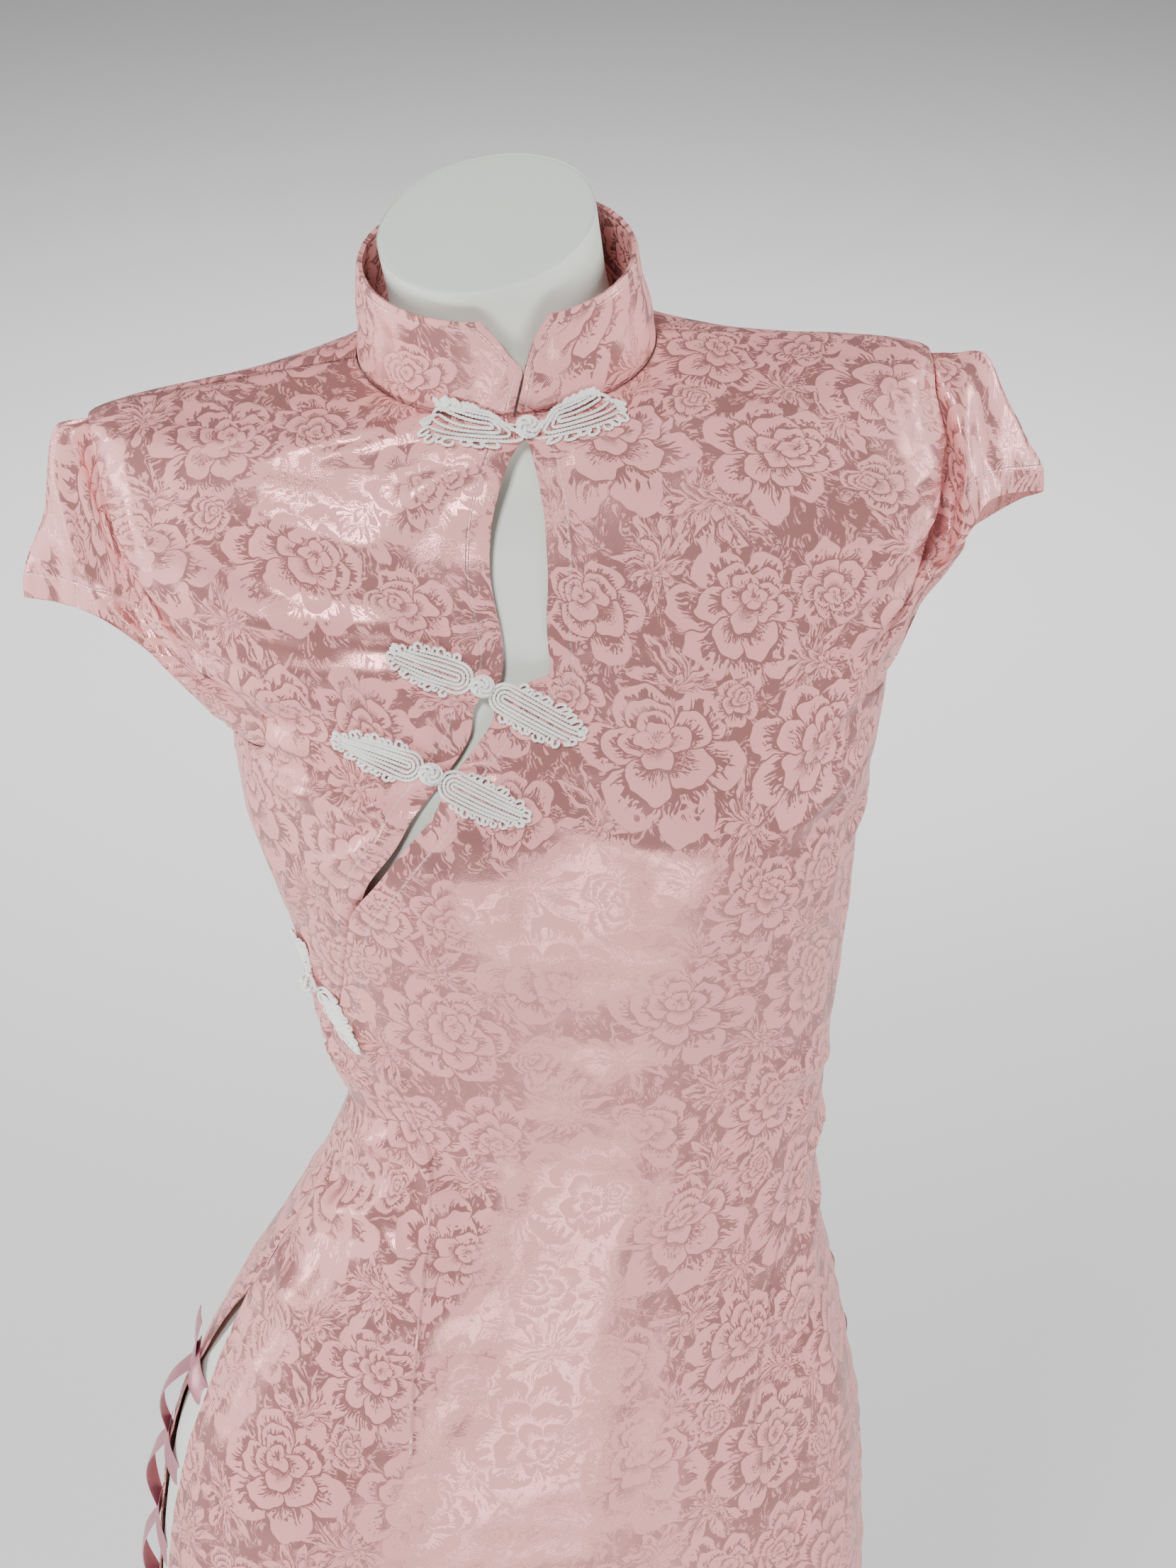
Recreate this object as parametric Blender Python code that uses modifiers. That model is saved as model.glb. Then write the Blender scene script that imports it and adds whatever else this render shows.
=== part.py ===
"""A fitted satin dress with a stand collar, a slanting front opening, cap sleeves and laced side slits,
worn by a smooth limbless display form on a pole and a round base.

Metres, +Z up. The front faces -Y, and the origin is the middle of the base's underside.
The dress and the form are lofted through sections. A section is one ring round the body, and a place on
the cloth is an angle round that ring, 0 at the middle of the front and 90 at the left side seam, and a level.
Up to the shoulder points a level is a height, and above them it counts on over the shoulders to the neck.
"""

from collections import namedtuple

import bmesh
import bpy
import numpy as np
from mathutils import Vector

# Cloth, seams and what is sewn on
CLOTH = 0.0016
COLLAR_CLOTH = 0.0024
RIBBON = 0.0010
SEAM_GAP = 0.0003
LAID_ON = 0.0006
UNDERLAP_DROP = 0.0036

# Levels of the dress
HEM = 0.575
SLIT_TOP = 0.935
WAIST = 1.045
UNDERARM = 1.272
SHOULDER_POINT = 1.433
NECKLINE = 1.500

# How finely the cloth is cut into rows and columns
ARMHOLE_STEPS = 12
FRONT_COLUMNS = 21
CHEST_COLUMNS = 10
BACK_COLUMNS = 19
COLLAR_COLUMNS = 31
SLEEVE_ROWS = 8

# The stand
FORM_FOOT = 0.560
POLE_RADIUS = 0.0125
FLANGE_RADIUS = 0.045
FLANGE_DEPTH = 0.006
BASE_RADIUS = 0.165
BASE_DEPTH = 0.006
HUB_RADIUS = 0.024
HUB_TOP = 0.036
POLE_FOOT = 0.004

Section = namedtuple(
    "Section", "level height shift fore half front back lean pitch drop turn square"
)

# The outside of the cloth. Shift and fore place the ring's middle, and half, front and back are its reach to
# the side, the front and the back. Lean lifts the left side, pitch lowers the front, drop lowers the back and
# turn swings the front to the left, in degrees. Square is 2 on an ellipse and more on a boxier ring.
DRESS = (
    Section(0.575, 0.575, -0.012, 0.004, 0.192, 0.118, 0.118, 0.0, 0.0, 0.0, 4.0, 2.35),
    Section(0.700, 0.700, -0.010, 0.004, 0.196, 0.119, 0.123, 0.0, 0.0, 0.0, 5.0, 2.35),
    Section(0.790, 0.790, -0.007, 0.004, 0.191, 0.118, 0.125, -1.0, 0.0, 0.0, 6.0, 2.30),
    Section(0.850, 0.850, -0.003, 0.004, 0.182, 0.115, 0.122, -1.5, 0.0, 0.0, 7.0, 2.25),
    Section(0.905, 0.905, 0.004, 0.003, 0.164, 0.108, 0.112, -1.5, 0.0, 0.0, 7.0, 2.20),
    Section(0.958, 0.958, 0.013, 0.002, 0.144, 0.100, 0.098, -1.0, 0.0, 0.0, 7.0, 2.15),
    Section(1.010, 1.010, 0.025, 0.000, 0.128, 0.094, 0.086, -0.5, 0.0, 0.0, 6.0, 2.10),
    Section(1.045, 1.045, 0.032, 0.000, 0.122, 0.092, 0.080, 0.0, 0.0, 0.0, 5.0, 2.10),
    Section(1.100, 1.100, 0.028, 0.000, 0.131, 0.097, 0.078, 1.0, 0.0, 0.0, 4.0, 2.10),
    Section(1.161, 1.161, 0.024, 0.000, 0.139, 0.106, 0.080, 2.0, 0.0, 0.0, 2.0, 2.15),
    Section(1.235, 1.235, 0.018, 0.000, 0.153, 0.110, 0.084, 3.0, 0.0, 0.0, 0.0, 2.20),
    Section(1.290, 1.290, 0.019, 0.002, 0.161, 0.104, 0.086, 3.0, 3.0, 0.0, 0.0, 2.30),
    Section(1.340, 1.336, 0.011, 0.004, 0.181, 0.096, 0.086, 3.0, 5.0, 0.0, 0.0, 2.35),
    Section(1.390, 1.382, 0.005, 0.006, 0.195, 0.086, 0.077, 3.0, 7.0, 4.0, 0.0, 2.30),
    Section(1.433, 1.421, -0.001, 0.010, 0.195, 0.070, 0.060, 2.8, 8.0, 20.0, 0.0, 2.20),
    Section(1.470, 1.4365, -0.002, 0.008, 0.135, 0.063, 0.054, 2.6, 11.5, 20.0, 2.0, 2.10),
    Section(1.500, 1.4445, -0.004, 0.003, 0.069, 0.054, 0.053, 1.6, 15.5, -6.0, 4.0, 2.05),
)

# The display form, from its closed foot to the flat cap on its neck
FORM = (
    Section(0.560, 0.560, -0.012, 0.004, 0.184, 0.111, 0.111, 0.0, 0.0, 0.0, 4.0, 2.3),
    Section(0.700, 0.700, -0.010, 0.004, 0.190, 0.113, 0.117, 0.0, 0.0, 0.0, 5.0, 2.3),
    Section(0.790, 0.790, -0.007, 0.004, 0.185, 0.112, 0.119, -1.0, 0.0, 0.0, 6.0, 2.3),
    Section(0.850, 0.850, -0.003, 0.004, 0.176, 0.109, 0.116, -1.5, 0.0, 0.0, 7.0, 2.2),
    Section(0.905, 0.905, 0.004, 0.003, 0.158, 0.102, 0.106, -1.5, 0.0, 0.0, 7.0, 2.2),
    Section(0.958, 0.958, 0.013, 0.002, 0.137, 0.093, 0.092, -1.0, 0.0, 0.0, 7.0, 2.1),
    Section(1.010, 1.010, 0.025, 0.000, 0.117, 0.081, 0.077, -0.5, 0.0, 0.0, 6.0, 2.1),
    Section(1.045, 1.045, 0.032, 0.000, 0.110, 0.077, 0.070, 0.0, 0.0, 0.0, 5.0, 2.1),
    Section(1.100, 1.100, 0.028, 0.000, 0.116, 0.081, 0.068, 1.0, 0.0, 0.0, 4.0, 2.1),
    Section(1.161, 1.161, 0.024, 0.000, 0.125, 0.088, 0.070, 2.0, 0.0, 0.0, 2.0, 2.1),
    Section(1.235, 1.235, 0.018, 0.000, 0.139, 0.095, 0.075, 3.0, 0.0, 0.0, 0.0, 2.2),
    Section(1.290, 1.290, 0.019, 0.002, 0.147, 0.092, 0.077, 3.0, 3.0, 0.0, 0.0, 2.3),
    Section(1.340, 1.336, 0.011, 0.004, 0.164, 0.085, 0.077, 3.0, 5.0, 0.0, 0.0, 2.3),
    Section(1.385, 1.378, 0.004, 0.006, 0.181, 0.076, 0.071, 3.0, 7.0, 4.0, 0.0, 2.3),
    Section(1.420, 1.4104, -0.001, 0.010, 0.184, 0.0586, 0.0559, 2.8, 8.6, 20.0, 0.0, 2.2),
    Section(1.460, 1.4345, -0.002, 0.008, 0.132, 0.0549, 0.0514, 2.6, 12.2, 20.0, 2.0, 2.1),
    Section(1.485, 1.4370, -0.004, 0.003, 0.062, 0.046, 0.043, 1.6, 15.0, -6.0, 4.0, 2.0),
    Section(1.505, 1.4560, -0.006, 0.002, 0.052, 0.044, 0.044, 4.0, 11.0, -8.0, 5.0, 2.0),
    Section(1.525, 1.4790, -0.009, 0.000, 0.049, 0.046, 0.045, 7.0, 12.0, -12.0, 5.0, 2.0),
    Section(1.550, 1.5040, -0.013, -0.004, 0.049, 0.050, 0.047, 10.0, 17.0, -17.0, 5.0, 2.0),
)

# A soft bust, the same on both sides, added in front of the rings
BUST_LEVEL = 1.230
BUST_APART = 0.076
BUST_WIDTH = 0.056
BUST_ABOVE = 0.062
BUST_BELOW = 0.088
BUST_REACH = 0.019

# The largest folds of the worn cloth, each a soft ridge, or a trough where its rise is negative
Fold = namedtuple("Fold", "angle level to_angle to_level width rise")
FOLDS = (
    Fold(-78, 1.372, -30, 1.345, 0.017, 0.0045),
    Fold(-76, 1.330, -28, 1.312, 0.017, 0.0045),
    Fold(-60, 1.290, -34, 1.262, 0.019, 0.0030),
    Fold(78, 1.390, 38, 1.372, 0.019, 0.0040),
    Fold(74, 1.345, 40, 1.340, 0.019, 0.0040),
    Fold(-84, 1.070, -46, 1.020, 0.019, 0.0040),
    Fold(-66, 1.010, -34, 0.965, 0.020, 0.0045),
    Fold(-84, 0.985, -58, 0.925, 0.020, 0.0035),
    Fold(52, 0.930, 66, 0.850, 0.020, 0.0030),
    Fold(150, 1.060, 205, 1.035, 0.021, 0.0040),
    Fold(155, 1.005, 212, 0.990, 0.021, 0.0035),
    Fold(120, 1.330, 160, 1.300, 0.021, 0.0035),
    Fold(240, 1.330, 200, 1.295, 0.021, 0.0035),
)

# The armhole: how far its front and back edges stand from the side seam's line, as angles
Armhole = namedtuple("Armhole", "level front back")
ARMHOLE = (
    Armhole(1.272, 0.0, 0.0),
    Armhole(1.276, 20.0, 16.0),
    Armhole(1.285, 31.0, 25.0),
    Armhole(1.300, 33.5, 28.0),
    Armhole(1.318, 31.0, 27.0),
    Armhole(1.334, 24.0, 22.0),
    Armhole(1.350, 14.0, 16.0),
    Armhole(1.370, 9.0, 12.0),
    Armhole(1.395, 6.0, 9.0),
    Armhole(1.420, 4.5, 6.0),
    Armhole(1.430, 2.5, 3.0),
    Armhole(1.433, 0.0, 0.0),
)

# Each sleeve's hem, as places on a turn round the sleeve: 0 at the top, 90 in front, 180 under the arm.
# The pinch draws the sleeve in along its armhole.
Hem = namedtuple("Hem", "turn side fore height pinch")
RIGHT_SLEEVE = (
    Hem(0, -0.2320, 0.012, 1.321, 0.0095),
    Hem(30, -0.2135, -0.002, 1.324, 0.0040),
    Hem(60, -0.1956, -0.018, 1.324, 0.0060),
    Hem(90, -0.1800, -0.0270, 1.317, 0.0050),
    Hem(120, -0.1665, -0.0290, 1.302, 0.0020),
    Hem(150, -0.1510, -0.023, 1.279, 0.0000),
    Hem(180, -0.1420, -0.002, 1.261, 0.0000),
    Hem(210, -0.1535, 0.020, 1.260, 0.0000),
    Hem(240, -0.1661, 0.036, 1.267, 0.0020),
    Hem(270, -0.1840, 0.042, 1.282, 0.0040),
    Hem(300, -0.2012, 0.034, 1.300, 0.0040),
    Hem(330, -0.2170, 0.024, 1.312, 0.0040),
)

LEFT_SLEEVE = (
    Hem(0, 0.2515, 0.012, 1.357, 0.0120),
    Hem(30, 0.2296, -0.008, 1.365, 0.0060),
    Hem(60, 0.2160, -0.025, 1.367, 0.0030),
    Hem(90, 0.2080, -0.0315, 1.356, 0.0000),
    Hem(120, 0.1985, -0.0310, 1.338, 0.0000),
    Hem(150, 0.1862, -0.020, 1.312, 0.0000),
    Hem(180, 0.1826, 0.000, 1.279, 0.0000),
    Hem(210, 0.1974, 0.021, 1.297, 0.0010),
    Hem(240, 0.2135, 0.038, 1.319, 0.0020),
    Hem(270, 0.2245, 0.042, 1.326, 0.0040),
    Hem(300, 0.2339, 0.036, 1.336, 0.0050),
    Hem(330, 0.2437, 0.026, 1.347, 0.0070),
)
SLEEVE_DROOP = 0.9

# The first frog lies across the neck seam: from a level below it, how far the seam is smoothed, and how far
# the collar climbs for a step of level
NECK_BELOW = 1.430
NECK_EASE = 0.010
NECK_CLIMB = 0.27

# Half the side slit's width, as an angle, and how fast the slit opens below its top
SLIT_OPEN = 8.5
SLIT_SPREAD = 0.14

# The collar above the neckline, its levels counted from the seam
COLLAR = (
    Section(0.000, 1.4445, -0.004, 0.003, 0.0680, 0.0530, 0.052, 1.6, 15.5, -6.0, 4.0, 2.05),
    Section(0.015, 1.4590, -0.005, 0.002, 0.0665, 0.0545, 0.053, 1.8, 13.8, -8.0, 4.0, 2.05),
    Section(0.030, 1.4740, -0.007, 0.001, 0.0645, 0.0560, 0.054, 2.2, 12.4, -10.0, 4.0, 2.05),
    Section(0.044, 1.4880, -0.008, 0.000, 0.0630, 0.0575, 0.055, 2.8, 12.4, -12.0, 4.0, 2.05),
)
COLLAR_LEVELS = (0.044, 0.036, 0.028, 0.020, 0.010, 0.000)

# The collar's two front ends, as angles
CollarEnd = namedtuple("CollarEnd", "level right left")
COLLAR_ENDS = (
    CollarEnd(0.000, -3.4, -2.4),
    CollarEnd(0.012, -1.0, 0.0),
    CollarEnd(0.020, 0.8, 1.8),
    CollarEnd(0.028, -3.5, 5.0),
    CollarEnd(0.036, -7.5, 8.5),
    CollarEnd(0.044, -13.5, 14.0),
)

# The front opening: the angle of each edge at a level, from the neck to the side seam
Edge = namedtuple("Edge", "level angle")
MAIN_EDGE = (
    Edge(NECKLINE, -2.6),
    Edge(1.472, -0.8),
    Edge(1.449, 0.5),
    Edge(1.416, 1.0),
    Edge(1.393, 0.5),
    Edge(1.350, -0.4),
    Edge(1.334, -0.6),
    Edge(1.330, -4.0),
    Edge(1.324, -7.0),
    Edge(1.312, -9.2),
    Edge(1.297, -14.0),
    Edge(1.283, -18.5),
    Edge(1.269, -21.5),
    Edge(1.250, -28.0),
    Edge(1.229, -35.0),
    Edge(1.206, -43.8),
    Edge(1.185, -49.0),
    Edge(1.157, -56.0),
    Edge(1.139, -61.0),
    Edge(1.112, -70.5),
    Edge(1.086, -83.5),
    Edge(1.075, -90.0),
)
CHEST_EDGE = (
    Edge(NECKLINE, 1.0),
    Edge(1.468, 0.8),
    Edge(1.446, -0.4),
    Edge(1.428, -1.8),
    Edge(1.404, -4.2),
    Edge(1.382, -5.0),
    Edge(1.358, -4.8),
    Edge(1.334, -6.0),
    Edge(1.323, -10.0),
    Edge(1.304, -13.6),
    Edge(1.286, -19.2),
    Edge(1.267, -25.4),
    Edge(1.248, -30.5),
    Edge(1.225, -38.0),
    Edge(1.209, -42.5),
    Edge(1.196, -45.5),
    Edge(1.169, -51.0),
    Edge(1.140, -58.0),
    Edge(1.110, -66.0),
    Edge(1.085, -76.0),
)
FLAP_FOOT = 1.085

# Frog buttons: where each knot lies, and the far tip of the half on either side
Frog = namedtuple("Frog", "angle level right_angle right_level left_angle left_level")
FROGS = (
    Frog(0.4, 1.474, -30.5, 1.503, 27.5, 1.496),
    Frog(-8.6, 1.331, -19.9, 1.349, 0.5, 1.300),
    Frog(-21.0, 1.288, -36.8, 1.303, -6.7, 1.262),
    Frog(-73.0, 1.139, -77.5, 1.164, -57.5, 1.111),
)
FROG_NEAR = 0.0046
FROG_WIDTH = 0.0084
FROG_THICK = 0.0026
KNOT_RADIUS = 0.0050
KNOT_THICK = 0.0040

# Ribbon laced across each slit: where its rungs cross, and the run that loops out between them
RIBBON_WIDTH = 0.014
RUNG_TOP = 0.872
RUNG_PITCH = 0.053
RUNGS = 6
RUN_BULGE = 0.0045


def between(table, level, column):
    """The column's value at each level, on a smooth curve through the table's rows."""
    levels = np.array([row.level for row in table])
    values = np.array([getattr(row, column) for row in table])
    if levels[0] > levels[-1]:
        levels = levels[::-1]
        values = values[::-1]
    steps = np.diff(levels)
    slopes = np.diff(values) / steps
    tangents = np.zeros(len(values))
    rising = slopes[:-1] * slopes[1:] > 0
    weighted = (slopes[:-1] * steps[1:] + slopes[1:] * steps[:-1]) / (steps[:-1] + steps[1:])
    limit = 2.5 * np.minimum(np.abs(slopes[:-1]), np.abs(slopes[1:]))
    tangents[1:-1] = np.where(rising, np.sign(weighted) * np.minimum(np.abs(weighted), limit), 0)
    tangents[0] = slopes[0]
    tangents[-1] = slopes[-1]
    level = np.clip(level, levels[0], levels[-1])
    at = np.clip(np.searchsorted(levels, level) - 1, 0, len(steps) - 1)
    t = (level - levels[at]) / steps[at]
    low = values[at] * (1 + 2 * t) * (1 - t) ** 2 + tangents[at] * steps[at] * t * (1 - t) ** 2
    high = values[at + 1] * t**2 * (3 - 2 * t) - tangents[at + 1] * steps[at] * t**2 * (1 - t)
    return low + high


def rings(table, angle, level):
    """Points on the sections' smooth surface, for angles in degrees and levels of the same shape."""
    angle, level = np.broadcast_arrays(np.asarray(angle, float), np.asarray(level, float))
    got = {name: between(table, level, name) for name in Section._fields[1:]}
    a = np.radians(angle)
    power = 2 / got["square"]
    side = np.sign(np.sin(a)) * np.abs(np.sin(a)) ** power
    ahead = np.sign(np.cos(a)) * np.abs(np.cos(a)) ** power
    x = got["half"] * side
    y = -np.where(ahead > 0, got["front"], got["back"]) * ahead
    for middle in (-BUST_APART, BUST_APART):
        height = np.where(level > BUST_LEVEL, BUST_ABOVE, BUST_BELOW)
        near = ((x - middle) / BUST_WIDTH) ** 2 + ((level - BUST_LEVEL) / height) ** 2
        y = y - BUST_REACH * np.exp(-near) * np.clip(ahead, 0, 1)
    turn = np.radians(got["turn"])
    x, y = x * np.cos(turn) - y * np.sin(turn), x * np.sin(turn) + y * np.cos(turn)
    fall = np.where(y < 0, np.tan(np.radians(got["pitch"])), -np.tan(np.radians(got["drop"])))
    z = np.tan(np.radians(got["lean"])) * x + fall * y
    return np.stack([got["shift"] + x, got["fore"] + y, got["height"] + z], axis=-1)


def outward(surface, angle, level, top=NECKLINE):
    """Unit normals of a surface that ends at a top level, pointing away from the body."""
    d_angle = 0.25
    d_level = 0.001
    across = surface(angle + d_angle, level) - surface(angle - d_angle, level)
    up = surface(angle, np.minimum(level + d_level, top)) - surface(angle, level - d_level)
    normal = np.cross(across, up)
    return normal / np.linalg.norm(normal, axis=-1, keepdims=True)


def fold_rise(angle, level):
    """How far the folds lift the cloth at a place."""
    rise = np.zeros(np.shape(angle))
    arc = 0.0026
    for fold in FOLDS:
        along = np.array([(fold.to_angle - fold.angle) * arc, fold.to_level - fold.level])
        length = np.hypot(*along)
        dx = (angle - fold.angle) * arc
        dz = level - fold.level
        share = np.clip((dx * along[0] + dz * along[1]) / length**2, 0, 1)
        off = np.hypot(dx - share * along[0], dz - share * along[1])
        taper = np.sin(np.pi * np.clip(share, 0.08, 0.92)) ** 0.7
        rise = rise + fold.rise * taper * np.exp(-((off / fold.width) ** 2))
    return rise


def dress_rings(angle, level):
    return rings(DRESS, angle, level)


def dress(angle, level, out=0.0):
    """Points on the worn cloth's outside, moved out by some metres."""
    angle, level = np.broadcast_arrays(np.asarray(angle, float), np.asarray(level, float))
    rise = fold_rise(angle, level) + out
    return dress_rings(angle, level) + outward(dress_rings, angle, level) * rise[..., None]


def collar(angle, level):
    return rings(COLLAR, angle, level)


def over_neck(angle, level):
    """The cloth's outside, which past the neckline goes on up the collar, smoothed across the seam."""
    angle, level = np.broadcast_arrays(np.asarray(angle, float), np.asarray(level, float))
    ease = NECK_EASE * np.clip((level - NECK_BELOW) / 0.02, 0, 1)
    total = np.zeros((*angle.shape, 3))
    for step in np.linspace(-1, 1, 9):
        at = level + ease * step
        below = dress(angle, np.minimum(at, NECKLINE))
        above = collar(angle, np.maximum(at - NECKLINE, 0) * NECK_CLIMB)
        total = total + np.where((at > NECKLINE)[..., None], above, below) / 9
    return total


def laid(angle, level, out):
    """Points some metres above the dress or, past the neckline, its collar."""
    angle, level, out = np.broadcast_arrays(np.asarray(angle, float), np.asarray(level, float), out)
    return over_neck(angle, level) + outward(over_neck, angle, level, NECKLINE * 2) * out[..., None]


def armhole(level, side):
    """How far the armhole's front or back edge stands from the side seam's line, 0 outside the armhole."""
    level = np.asarray(level, float)
    return np.where(level > UNDERARM, between(ARMHOLE, level, side), 0) * (level < SHOULDER_POINT)


def slit(level):
    """Half the side slit's opening angle at a level, 0 above the slit."""
    share = np.clip((SLIT_TOP - np.asarray(level, float)) / SLIT_SPREAD, 0, 1)
    return SLIT_OPEN * share * (2 - share)


def seam(level):
    """The angle that keeps an edge clear of the seam line."""
    return np.degrees(1.2 * SEAM_GAP / np.maximum(between(DRESS, level, "front"), 0.05))


def side_edge(level, side):
    """How far a panel's side edge stands from the side seam's line, as an angle."""
    return np.maximum(armhole(level, side), slit(level)) + seam(level)


def armhole_levels():
    """The levels that the armhole is cut at, closer together towards its ends."""
    turn = np.linspace(0, np.pi, ARMHOLE_STEPS + 1)
    return UNDERARM + (SHOULDER_POINT - UNDERARM) * (1 + np.cos(turn)) / 2


def sleeve(hems, turn, share):
    """Points on a sleeve's outside, from its armhole at share 0 to its hem at share 1."""
    turn, share = np.broadcast_arrays(np.asarray(turn, float) % 360, np.asarray(share, float))
    right = hems[0].side < 0
    level = UNDERARM + (SHOULDER_POINT - UNDERARM) * (1 + np.cos(np.radians(turn))) / 2
    front = turn < 180
    gap = 2.5 * seam(level)
    from_side = np.where(front, armhole(level, "front"), armhole(level, "back"))
    from_side = np.maximum(from_side - gap, 0.3 * from_side) + 0.1 * np.abs(np.sin(np.radians(turn)))
    from_side = from_side * np.where(front, 1, -1)
    angle = -90 + from_side if right else 90 - from_side
    start = dress(angle, level, -CLOTH / 2)
    inset = 2.5 * SEAM_GAP * np.cos(np.radians(turn))
    start = start - np.stack([np.zeros(inset.shape), np.zeros(inset.shape), inset], axis=-1)
    ends = [hem._replace(turn=hem.turn + lap) for lap in (-360, 0, 360) for hem in hems]
    end = np.stack([between_turns(ends, turn, name) for name in ("side", "fore", "height")], axis=-1)
    corner = np.concatenate([end[..., :2], start[..., 2:]], axis=-1)
    droop = SLEEVE_DROOP * (1 + np.cos(np.radians(turn)))[..., None] / 2
    middle = (start + end) / 2 * (1 - droop) + corner * droop
    s = share[..., None]
    points = start * (1 - s) ** 2 + middle * 2 * s * (1 - s) + end * s**2
    centre = np.array([hems[0].side * 0.8, 0.005, (hems[0].height + hems[6].height) / 2])
    inward = centre - points
    inward = inward / np.linalg.norm(inward, axis=-1, keepdims=True)
    puff = 2.7 * share * np.exp(-(((share - 0.24) / 0.13) ** 2)) * ((1 + np.cos(np.radians(turn))) / 2) ** 2
    pinch = between_turns(ends, turn, "pinch") * (np.sin(np.pi * share**1.25) ** 2 - puff)
    return points + inward * pinch[..., None]


def between_turns(rows, turn, column):
    """The column's value at each turn round the sleeve, on a smooth closed curve."""
    turns = np.array([row.turn for row in rows], float)
    values = np.array([getattr(row, column) for row in rows])
    slopes = np.gradient(values, turns)
    at = np.clip(np.searchsorted(turns, turn, side="right") - 1, 0, len(turns) - 2)
    step = turns[at + 1] - turns[at]
    t = (turn - turns[at]) / step
    low = values[at] * (1 + 2 * t) * (1 - t) ** 2 + slopes[at] * step * t * (1 - t) ** 2
    return low + values[at + 1] * t**2 * (3 - 2 * t) - slopes[at + 1] * step * t**2 * (1 - t)


def behind(surface, a, b, wall, a_step=0.25, b_step=0.0008):
    """Points on a surface and the points a wall's thickness behind them."""
    outer = surface(a, b)
    across = surface(a + a_step, b) - surface(a - a_step, b)
    along = surface(a, b + b_step) - surface(a, b - b_step)
    normal = np.cross(across, along)
    normal = normal / np.linalg.norm(normal, axis=-1, keepdims=True)
    return outer, outer - normal * wall


def clear_scene():
    for obj in list(bpy.data.objects):
        bpy.data.objects.remove(obj)


def new_collection(name):
    made = bpy.data.collections.new(name)
    bpy.context.scene.collection.children.link(made)
    return made


def material(name, colour, roughness, metallic=0.0):
    made = bpy.data.materials.new(name)
    made.use_nodes = True
    shader = made.node_tree.nodes["Principled BSDF"]
    shader.inputs["Base Color"].default_value = (*colour, 1.0)
    shader.inputs["Roughness"].default_value = roughness
    shader.inputs["Metallic"].default_value = metallic
    return made


def mesh_object(name, mesh, look, collection):
    obj = bpy.data.objects.new(name, mesh)
    obj.data.materials.append(look)
    collection.objects.link(obj)
    return obj


def wall_object(name, outer, inner, look, collection, closed=False, filled=None):
    """A closed wall between two grids of points. Closed joins the last column to the first, and filled, where
    it is given, says which of the grid's cells are cloth."""
    rows, columns = outer.shape[:2]
    if filled is None:
        filled = np.ones((rows - 1, columns if closed else columns - 1), bool)
    bm = bmesh.new()
    made = {}

    def corner(skin, i, j):
        key = (skin, i, j % columns)
        if key not in made:
            made[key] = bm.verts.new((outer, inner)[skin][i, j % columns])
        return made[key]

    def cloth(i, j):
        j = j % columns if closed else j
        return 0 <= i < filled.shape[0] and 0 <= j < filled.shape[1] and filled[i, j]

    for i, j in np.argwhere(filled):
        ring = [(i, j), (i + 1, j), (i + 1, j + 1), (i, j + 1)]
        beside = [(i, j - 1), (i + 1, j), (i, j + 1), (i - 1, j)]
        bm.faces.new([corner(0, *place) for place in ring])
        bm.faces.new([corner(1, *ring[turn]) for turn in (0, 3, 2, 1)])
        for start, end, cell in zip(ring, ring[1:] + ring[:1], beside):
            if not cloth(*cell):
                bm.faces.new([corner(0, *end), corner(0, *start), corner(1, *start), corner(1, *end)])
    bmesh.ops.recalc_face_normals(bm, faces=bm.faces)
    mesh = bpy.data.meshes.new(name)
    bm.to_mesh(mesh)
    bm.free()
    mesh.shade_smooth()
    return mesh_object(name, mesh, look, collection)


def loft_object(name, loops, look, collection):
    """A closed solid through rings of points, from the top down, with flat ends."""
    loops = [list(loop) for loop in loops]
    bm = bmesh.new()
    verts = [[bm.verts.new(point) for point in loop] for loop in loops]
    count = len(verts[0])
    for upper, lower in zip(verts, verts[1:]):
        for j in range(count):
            k = (j + 1) % count
            bm.faces.new((upper[j], lower[j], lower[k], upper[k]))
    bm.faces.new(verts[0])
    bm.faces.new(verts[-1][::-1])
    bmesh.ops.recalc_face_normals(bm, faces=bm.faces)
    mesh = bpy.data.meshes.new(name)
    bm.to_mesh(mesh)
    bm.free()
    mesh.shade_smooth()
    return mesh_object(name, mesh, look, collection)


def turned_object(name, profile, look, collection, steps=40):
    """A body of revolution about Z, from a profile of radius and height that runs down its outer side."""
    mesh = bpy.data.meshes.new(name)
    points = [(radius, 0, height) for radius, height in profile]
    mesh.from_pydata(points, [(i, i + 1) for i in range(len(points) - 1)], [])
    obj = mesh_object(name, mesh, look, collection)
    screw = obj.modifiers.new("turn", "SCREW")
    screw.steps = steps
    screw.render_steps = steps
    screw.use_merge_vertices = True
    screw.merge_threshold = 0.0001
    screw.use_smooth_shade = True
    return obj


def steps(top, bottom, count):
    """Levels from the top down to just above the bottom."""
    return np.linspace(top, bottom, count + 1)[:-1]


def panel(name, levels, left, right, columns, look, collection, drop=None):
    """A panel of the dress between two edges, each an angle for each level."""
    share = np.linspace(0, 1, columns)[None, :]
    side = 90 if right.max() < 180 else 270
    angle = left[:, None] + (side - left)[:, None] * share + (right - side)[:, None] * share**3
    if right.max() < 30:
        angle = -90 + (right + 90)[:, None] * share + (left + 90)[:, None] * (1 - share) ** 1.5
    if side == 270:
        angle = 90 + 180 * share + (left - 90)[:, None] * (1 - share) ** 3 + (right - 270)[:, None] * share**3
    level = np.repeat(levels[:, None], columns, axis=1)

    def surface(a, b):
        return dress(a, b, 0.0 if drop is None else drop(a, b))

    return wall_object(name, *behind(surface, angle, level, CLOTH), look, collection)


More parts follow.
